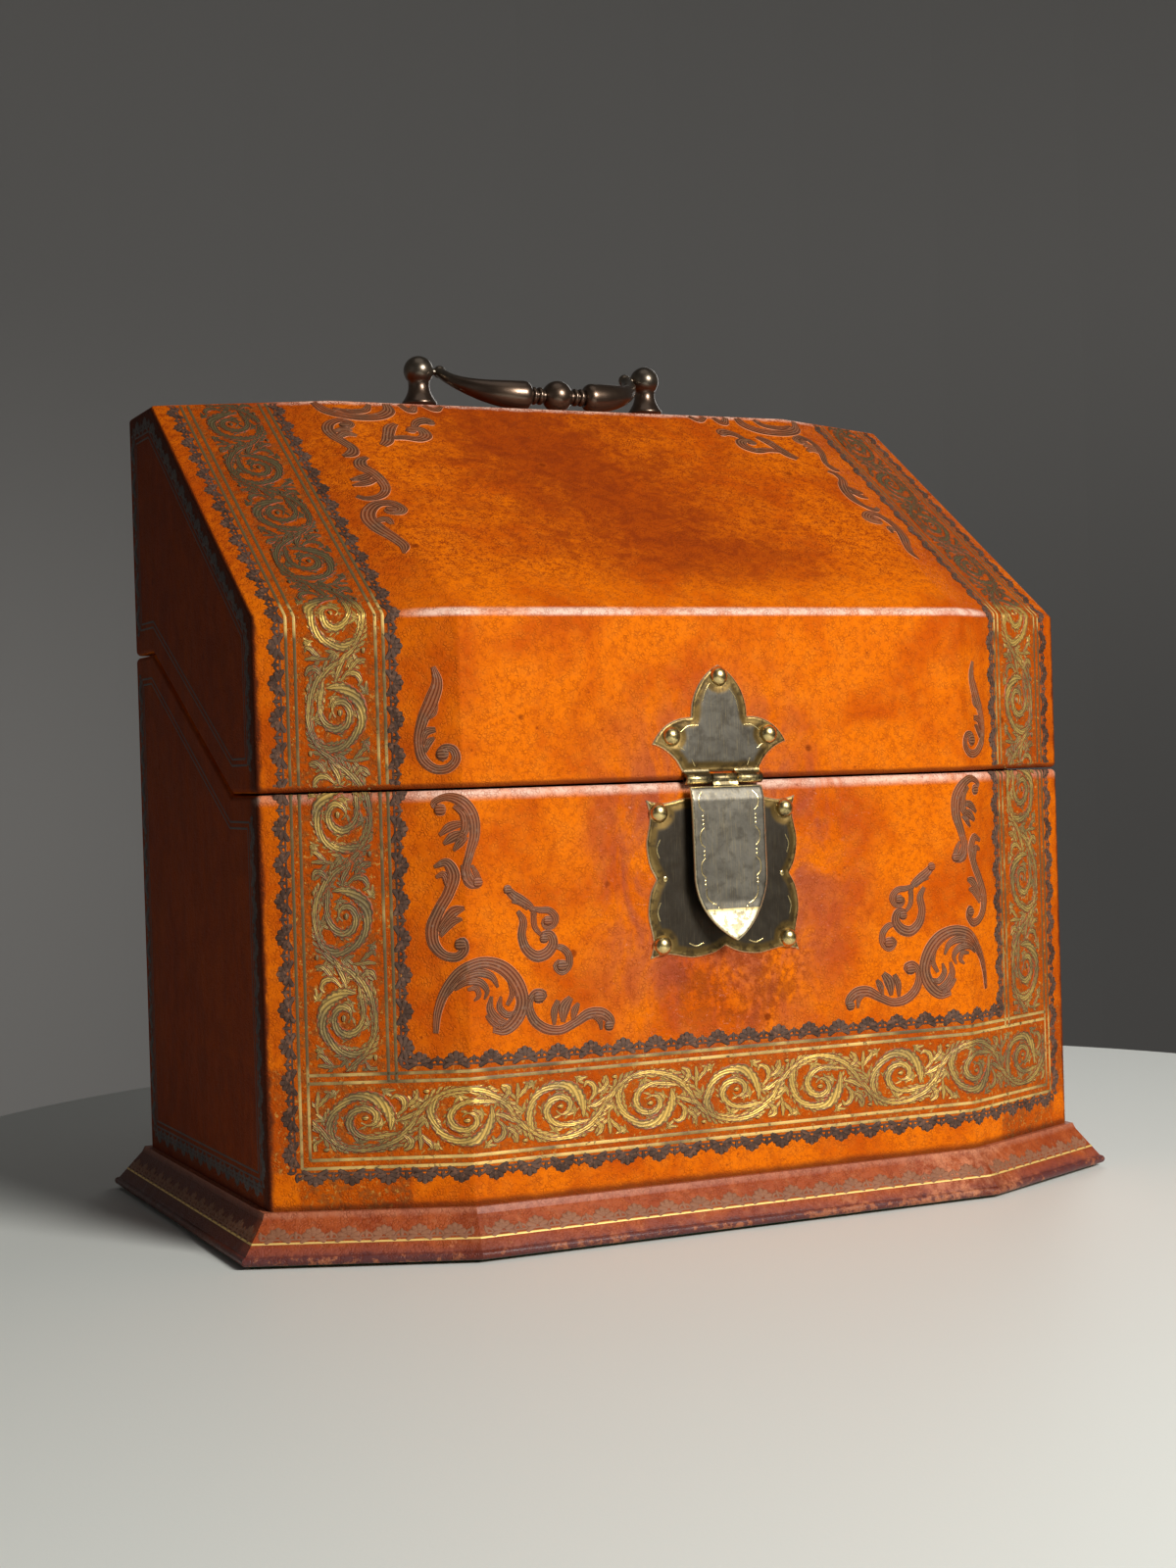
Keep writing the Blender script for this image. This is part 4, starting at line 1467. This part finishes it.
def pressed_plate(name, outline, nails, replaced, body, finish_name="plate", hole=()):
    """A plate with a bright chamfered edge that rises to a flat field, lower round its nails."""
    points, faces = sheet(outline, 0.62, hole)
    off = edge_distance(points, outline)
    nailed = np.linalg.norm(points[:, None] - np.array(nails)[None], axis=-1).min(1)
    inward = np.minimum(off / 4.2, (nailed - 2.4) / 4.0).clip(0, 1)
    height = 0.08 + 0.54 * rising(off, -0.25, 0.55) + 0.38 * rising(inward, 0, 0.95)
    height += 0.20 * rising(off, 0.15, 0.6) * rising(off, 1.25, 0.7)
    rings, n = len(outline) + len(hole), len(points)
    top = on_hasp(*points.T, height)
    rim = on_hasp(*points[:rings].T, np.zeros(rings))
    faces = [face[::-1] for face in faces] + skirt(0, n, len(outline))
    faces += skirt(len(outline), n + len(outline), len(hole))
    places = np.stack([inward, off.clip(0, 1)], -1)
    solid(name, np.concatenate([top, rim]), faces, finish_name, "brass", body, replaced,
          places=np.concatenate([places, places[:rings]]))


def lathe(profile, turns, caps=True):
    """Points (x, y, height) of a profile of rows (radius, height) turned about x = y = 0, and its faces."""
    points = [(r * math.cos(math.tau * k / turns), r * math.sin(math.tau * k / turns), h)
              for r, h in profile for k in range(turns)]
    last = (len(profile) - 1) * turns
    faces = [[i + k, i + (k + 1) % turns, i + turns + (k + 1) % turns, i + turns + k]
             for i in range(0, last, turns) for k in range(turns)]
    if caps:
        faces += [list(range(turns)), list(range(last, last + turns))]
    return np.array(points), faces


def gathered(parts):
    """One list of points and one of faces from several."""
    points, faces, count = [], [], 0
    for these, theirs in parts:
        points.append(these)
        faces += [[count + k for k in face] for face in theirs]
        count += len(these)
    return np.concatenate(points), faces


def dome_nails(name, spots, replaced, body):
    """Domed nails, each with a worn flange pressed down on the plate."""
    turns = 40
    profile = [(3.35, 0.42), (3.30, 0.72), (3.05, 0.84)]
    profile += [(NAIL * math.cos(a), NAIL_FOOT + NAIL_RISE * math.sin(a))
                for a in np.radians(np.linspace(4, 86, 12))]
    dome, faces = lathe(profile, turns, caps=False)
    last = len(dome) - turns
    faces += [[last + k, last + (k + 1) % turns, len(dome)] for k in range(turns)]
    dome = np.concatenate([dome, [(0, 0, NAIL_FOOT + NAIL_RISE)]])
    points, faces = gathered([(dome + (x, z, 0), faces) for x, z in spots])
    solid(name, on_hasp(*points.T), faces, "dome", "brass", body, replaced)


def rod(name, spans, body):
    """Lengths of rolled knuckle round the hasp's pin."""
    parts = []
    for low, high in spans:
        profile = ((KNUCKLE_R - 0.23, low), (KNUCKLE_R, low + 0.2), (KNUCKLE_R, high - 0.2),
                   (KNUCKLE_R - 0.23, high))
        turned, faces = lathe(profile, 32)
        parts.append((turned[:, [2, 1, 0]] + (0, PIN_Z, PIN_OUT), faces))
    points, faces = gathered(parts)
    solid(name, on_hasp(*points.T), faces, "knuckle", "brass", body)


def bar(name, section, spans, body):
    """Lengths of a section, given as (height, distance from the leather), that run across the hasp."""
    count = len(section)
    parts = [(np.array([(x, z, out) for x in span for z, out in section]),
              [[k, (k + 1) % count, count + (k + 1) % count, count + k] for k in range(count)]
              + [list(range(count)), list(range(count, 2 * count))]) for span in spans]
    points, faces = gathered(parts)
    solid(name, on_hasp(*points.T), faces, "knuckle", "brass", body, smooth=False)


def strap_out(z):
    """How far the strap's back is from the leather at a height: bent at its shoulder, kicked at its tip."""
    return np.interp(z, (93.0, 97.5, 101.5, 105.5, 120.0, 134.0, 138.7, 141.4, 143.5),
                     (8.0, 6.55, 5.55, 5.0, 4.66, 4.36, 4.15, 3.2, 2.35))


def on_strap(x, z, height):
    """Points a little under the strap's face, and so with their edges in it, raised by height."""
    return on_hasp(x, z, height + strap_out(z) + STRAP_THICK - 0.03)


def on_plate(x, z, height):
    """The same for the flat field of the plates."""
    return on_hasp(x, z, height + 0.97)


def engraved(name, lines, place, body, width=0.17, dots=()):
    """Thin cuts, and dots as (x, height, radius)."""
    made = Tooling()
    for line in lines:
        made.stroke([(x, z, width) for x, z in line], LINE, 0.5)
    for x, z, r in dots:
        half = r * 0.87
        dot = [(x - r, z, 0.1), (x - r * 0.5, z, half), (x + r * 0.5, z, half), (x + r, z, 0.1)]
        made.stroke(dot, LINE, 0.3)
    made.piece(name, place, "polished", "brass", body)


def both_sides(lines):
    """The lines at the right of the hasp's middle, and their mirror images at its left."""
    return [[(side * x, *rest) for x, *rest in line] for side in (-1, 1) for line in lines]


class LETTERBOX_OT_hasp(bpy.types.Operator):
    """Make the hasp: two engraved plates, the strap and their dome nails"""

    bl_idname = "letterbox.hasp"
    bl_label = "Hasp"

    def execute(self, context):
        pressed_plate("upper_plate", upper_plate_outline(), UPPER_NAILS, "hasp_upper_plate", "lid")
        pressed_plate("lower_plate", lower_plate_outline(), LOWER_NAILS, "hasp_lower_plate", "box",
                      "dark_plate", slot_outline(*CATCH_SLOT))
        dome_nails("upper_dome_nails", UPPER_NAILS, "hasp_upper_nails", "lid")
        dome_nails("lower_dome_nails", LOWER_NAILS, "hasp_lower_nails", "box")
        rod("plate_knuckles", OUTER_KNUCKLES, "lid")
        bar("plate_lips", LIP_SECTION, OUTER_KNUCKLES, "lid")
        bent_strap()
        rod("strap_knuckle", MIDDLE_KNUCKLE, "strap")
        bar("strap_tongue", TONGUE_SECTION, MIDDLE_KNUCKLE, "strap")
        plate_engraving()
        strap_engraving()
        return {"FINISHED"}


def bent_strap():
    """The strap, with its edges rounded over and its tip polished."""
    outline = strap_outline()
    points, faces = sheet(outline, 0.75)
    off = edge_distance(points, outline)
    back = strap_out(points[:, 1])
    round_over = 0.22 * rising(off, 0.55, 0.0)
    front = on_hasp(*points.T, back + STRAP_THICK - round_over)
    rear = on_hasp(*points.T, back + round_over * 0.5)
    n = len(points)
    every = [face[::-1] for face in faces] + [[n + k for k in face] for face in faces]
    every += skirt(0, n, len(outline))
    places = np.tile(np.stack([rising(points[:, 1], 102.2, 103.4), off.clip(0, 1)], -1), (2, 1))
    solid("strap", np.concatenate([front, rear]), every, "strap", "brass", "strap", "hasp_strap",
          places=places)


def plate_engraving():
    """Short curved cuts along the edges of both plates, and a dot at each side of the lower one."""
    upper = (((3.6, 174.6), (5.9, 171.2), (6.9, 167.0)), ((-3.4, 176.2), (-5.2, 173.4), (-6.3, 170.2)),
             ((-14.4, 160.6), (-11.8, 162.4), (-8.0, 162.6)), ((8.6, 162.6), (12.0, 162.4), (14.4, 160.8)),
             ((9.6, 149.4), (11.6, 153.2), (15.4, 156.2)), ((-9.6, 149.4), (-11.6, 153.2), (-15.4, 156.2)))
    engraved("upper_engraving", upper, lambda x, z, height: on_plate(x, z, height + 0.01), "lid")
    lower = both_sides((((23.0, 126.2), (24.2, 123.2), (23.4, 120.2)),
                        ((23.4, 106.0), (24.5, 103.0), (23.8, 100.0)),
                        ((13.6, 92.4), (11.0, 91.4), (8.4, 92.2))))
    engraved("lower_engraving", lower, on_plate, "box", 0.26, ((-21.4, 113.5, 0.85), (21.4, 113.5, 0.85)))


def strap_engraving():
    """Crescents and rows of dots down both edges of the strap, and small marks on its tip."""
    crescents = [[(9.3, z + 3.3), (10.6, z + 1.8), (10.9, z), (10.5, z - 1.8), (9.3, z - 3.0)]
                 for z in (137.8, 126.2, 116.4)]
    crescents.append([(9.4, 110.2), (9.3, 107.6), (7.6, 105.4), (6.0, 104.6)])
    dots = [(9.6, z, 0.46) for z in (133.2, 131.9, 130.6, 121.9, 120.6, 112.4, 111.2)]
    dots += [(6.9, 104.9, 0.4), (5.2, 103.6, 0.4)]
    engraved("strap_engraving", both_sides(crescents), on_strap, "strap", 0.30, sum(both_sides([dots]), []))
    tip = Tooling()
    for line in both_sides([[(2.6, 99.4, 0.12), (4.6, 100.2, 0.2), (5.7, 102.2, 0.12)]]):
        tip.stroke(line, LINE, 0.4)
    for x, z in ((-1.9, 98.0), (1.9, 98.0), (0, 96.4)):
        tip.stroke([(x - 0.3, z, 0.1), (x, z, 0.3), (x + 0.3, z, 0.1)], LINE, 0.2)
    tip.piece("strap_tip_marks", on_strap, "plate_mark", "brass", "strap")


# The handle's posts: their places, the height of the ball over the top, and its radius
POST_X, POST_Y, POST_BALL, BALL = 47.0, 58.25, 17.3, 5.6
POST_FOOT = ((2.0, 0.0), (6.1, 0.0), (6.4, 0.3), (6.4, 1.2), (6.1, 1.6), (5.7, 2.6), (5.8, 3.7), (6.2, 4.3),
             (6.5, 4.6), (6.6, 5.0), (6.5, 5.5))
NECK, NECK_FLARE, NECK_Z, NECK_LENGTH = 3.95, 2.45, 5.7, 6.0


class LETTERBOX_OT_posts(bpy.types.Operator):
    """Turn the two posts of the handle, each with a flared foot, a slim neck and a ball"""

    bl_idname = "letterbox.posts"
    bl_label = "Handle posts"

    def execute(self, context):
        for side, hand in ((-1, "left"), (1, "right")):
            node = "handle_post_" + hand
            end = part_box(node)[0][2] / MM - TOP_Z
            profile = [(0.01, end), (1.7, end), (2.0, end + 0.3), *POST_FOOT]
            profile += [(NECK + NECK_FLARE * (1 - t) ** 1.9, NECK_Z + NECK_LENGTH * t)
                        for t in np.linspace(0, 1, 14)]
            profile += [(BALL * math.sin(a), POST_BALL - BALL * math.cos(a))
                        for a in np.linspace(0.80, math.pi - 0.001, 22)]
            points, faces = lathe(profile, 48)
            points += (side * POST_X, POST_Y, TOP_Z)
            solid("turned_post_" + hand, points, faces, "bronze", "bronze", "lid", node)
        return {"FINISHED"}


class LETTERBOX_OT_stage(bpy.types.Operator):
    """Set the table, the wall, the lights and the camera"""

    bl_idname = "letterbox.stage"
    bl_label = "Stage"

    def execute(self, context):
        stage = settings().stage
        table_top(tuple(stage.floor))
        wall(tuple(stage.wall))
        lamp("key", (0.31, -1.16, 0.76), 0.50, stage.key, (1.0, 0.975, 0.94))
        lamp("overhead", (0.0, -0.15, 1.35), 0.9, stage.fill, (1.0, 0.98, 0.96))
        lamp("left", (-1.2, -0.5, 0.5), 0.8, stage.side, (0.95, 0.97, 1.0))
        lamp("behind", (1.05, 1.30, 0.60), 0.8, stage.back, (1.0, 0.98, 0.95))
        faint_world()
        camera()
        return {"FINISHED"}


def stage_mesh(name, points, faces, material):
    """A mesh that belongs to the stage and not to the box."""
    mesh = bpy.data.meshes.new(name)
    mesh.from_pydata(points, [], faces)
    mesh.materials.append(material)
    made = bpy.data.objects.new(name, mesh)
    bpy.context.collection.objects.link(made)


# The table, in metres: the middle of its round far end, its radius, and the way and distance to its near end
TABLE_FAR, TABLE_RADIUS = np.array([0.06, 0.06]), 0.335
TABLE_TOWARD, TABLE_REACH, TABLE_THICK = np.array([-0.4185, -0.908]), 1.15, 0.025


def table_top(shade):
    """A pale table with a round far end, long enough to fill the foreground."""
    f, p = started("pale_table")
    f.start(f.noise(p, 0.3, 3.0) * 0.25, shade, dimmed(shade, 0.93))
    material = f.set(Roughness=0.55, Normal=f.bump(f.noise(p, 0.001, 2.0), 0.0001, 0.2))
    turn = math.atan2(-TABLE_TOWARD[1], -TABLE_TOWARD[0])
    ring, near = [], TABLE_FAR + TABLE_TOWARD * TABLE_REACH
    for middle, start in ((TABLE_FAR, turn - math.pi / 2), (near, turn + math.pi / 2)):
        for a in np.linspace(start, start + math.pi, 65):
            ring.append(middle + TABLE_RADIUS * np.array([math.cos(a), math.sin(a)]))
    n = len(ring)
    points = [(x, y, z) for z in (0.0, -TABLE_THICK) for x, y in ring]
    faces = [list(range(n)), list(range(2 * n - 1, n - 1, -1))] + skirt(0, n, n)
    stage_mesh("table", points, faces, material)


def wall(shade):
    """A plain grey wall that bends round behind the table."""
    f, p = started("grey_wall")
    x, _, z = f.parts(p)
    low = z.rise(0.9, 0.0)
    f.start(low * x.rise(1.0, 0.1), shade, dimmed(shade, 1.65))
    f.over(low * x.rise(0.8, 1.7) * 0.45, dimmed(shade, 0.3))
    turns = [math.radians(-20 + 220 * k / 48) for k in range(49)]
    points = [(2.4 * math.cos(a), 2.4 * math.sin(a), z) for a in turns for z in (-1.2, 2.6)]
    faces = [[2 * k - 2, 2 * k, 2 * k + 1, 2 * k - 1] for k in range(1, len(turns))]
    stage_mesh("wall", points, faces, f.set(Roughness=0.9))


def lamp(name, place, size, power, shade):
    """A round light that faces the box."""
    data = bpy.data.lights.new(name, "AREA")
    data.shape, data.size, data.energy, data.color = "DISK", size, power, shade
    made = bpy.data.objects.new(name, data)
    made.location = place
    made.rotation_mode = "QUATERNION"
    made.rotation_quaternion = (Vector((0.0, 0.0, 0.14)) - Vector(place)).to_track_quat("-Z", "Y")
    bpy.context.collection.objects.link(made)


def faint_world():
    world = bpy.data.worlds.new("studio")
    world.use_nodes = True
    background = world.node_tree.nodes["Background"]
    background.inputs["Color"].default_value = (0.9, 0.93, 1.0, 1.0)
    background.inputs["Strength"].default_value = 0.02
    bpy.context.scene.world = world


# The camera: its place in metres, its yaw, pitch and roll in degrees, and its focal length in pixels of a
# picture 1600 high
CAMERA_PLACE = (-0.35356, -0.7475, 0.15076)
CAMERA_TURN = (24.738, 0.467, -1.727)
CAMERA_FOCAL = 2343.3


def camera():
    yaw, pitch, roll = (math.radians(v) for v in CAMERA_TURN)
    ahead = Vector((math.sin(yaw) * math.cos(pitch), math.cos(yaw) * math.cos(pitch), -math.sin(pitch)))
    right = Vector((math.cos(yaw), -math.sin(yaw), 0.0))
    up = right.cross(ahead)
    leaning = right * math.cos(roll) + up * math.sin(roll)
    upright = up * math.cos(roll) - right * math.sin(roll)
    data = bpy.data.cameras.new("camera")
    data.sensor_width = 36.0
    data.lens = CAMERA_FOCAL / 1600 * data.sensor_width
    data.clip_start, data.clip_end = 0.01, 20.0
    made = bpy.data.objects.new("camera", data)
    turned = Matrix((leaning, upright, -ahead)).transposed()
    made.matrix_world = Matrix.Translation(CAMERA_PLACE) @ turned.to_4x4()
    bpy.context.collection.objects.link(made)
    bpy.context.scene.camera = made
    bpy.context.scene.view_settings.view_transform = "Standard"


class LETTERBOX_PT_panel(bpy.types.Panel):
    """The letter box's settings and pieces"""

    bl_idname = "LETTERBOX_PT_panel"
    bl_label = "Letter box"
    bl_space_type = "VIEW_3D"
    bl_region_type = "UI"
    bl_category = "Letter box"

    def draw(self, context):
        box = context.scene.letter_box
        for group in (box.leather, box.tooling, box.metal, box.inside, box.stage):
            column = self.layout.column(align=True)
            for name in group.bl_rna.properties.keys():
                if name not in ("rna_type", "name"):
                    column.prop(group, name)
        for operator in OPERATORS:
            self.layout.operator(operator.bl_idname)


OPERATORS = (LETTERBOX_OT_case, LETTERBOX_OT_bands, LETTERBOX_OT_edgings, LETTERBOX_OT_flourishes,
             LETTERBOX_OT_borders, LETTERBOX_OT_hasp, LETTERBOX_OT_posts, LETTERBOX_OT_stage)
CLASSES = (LeatherSettings, ToolingSettings, MetalSettings, InsideSettings, StageSettings, LetterBoxSettings,
           *OPERATORS, LETTERBOX_PT_panel)


def register():
    for each in CLASSES:
        bpy.utils.register_class(each)
    bpy.types.Scene.letter_box = PointerProperty(type=LetterBoxSettings)


def unregister():
    del bpy.types.Scene.letter_box
    for each in reversed(CLASSES):
        bpy.utils.unregister_class(each)


def main():
    register()
    for operator in OPERATORS:
        group, name = operator.bl_idname.split(".")
        getattr(getattr(bpy.ops, group), name)()


if __name__ == "__main__":
    main()
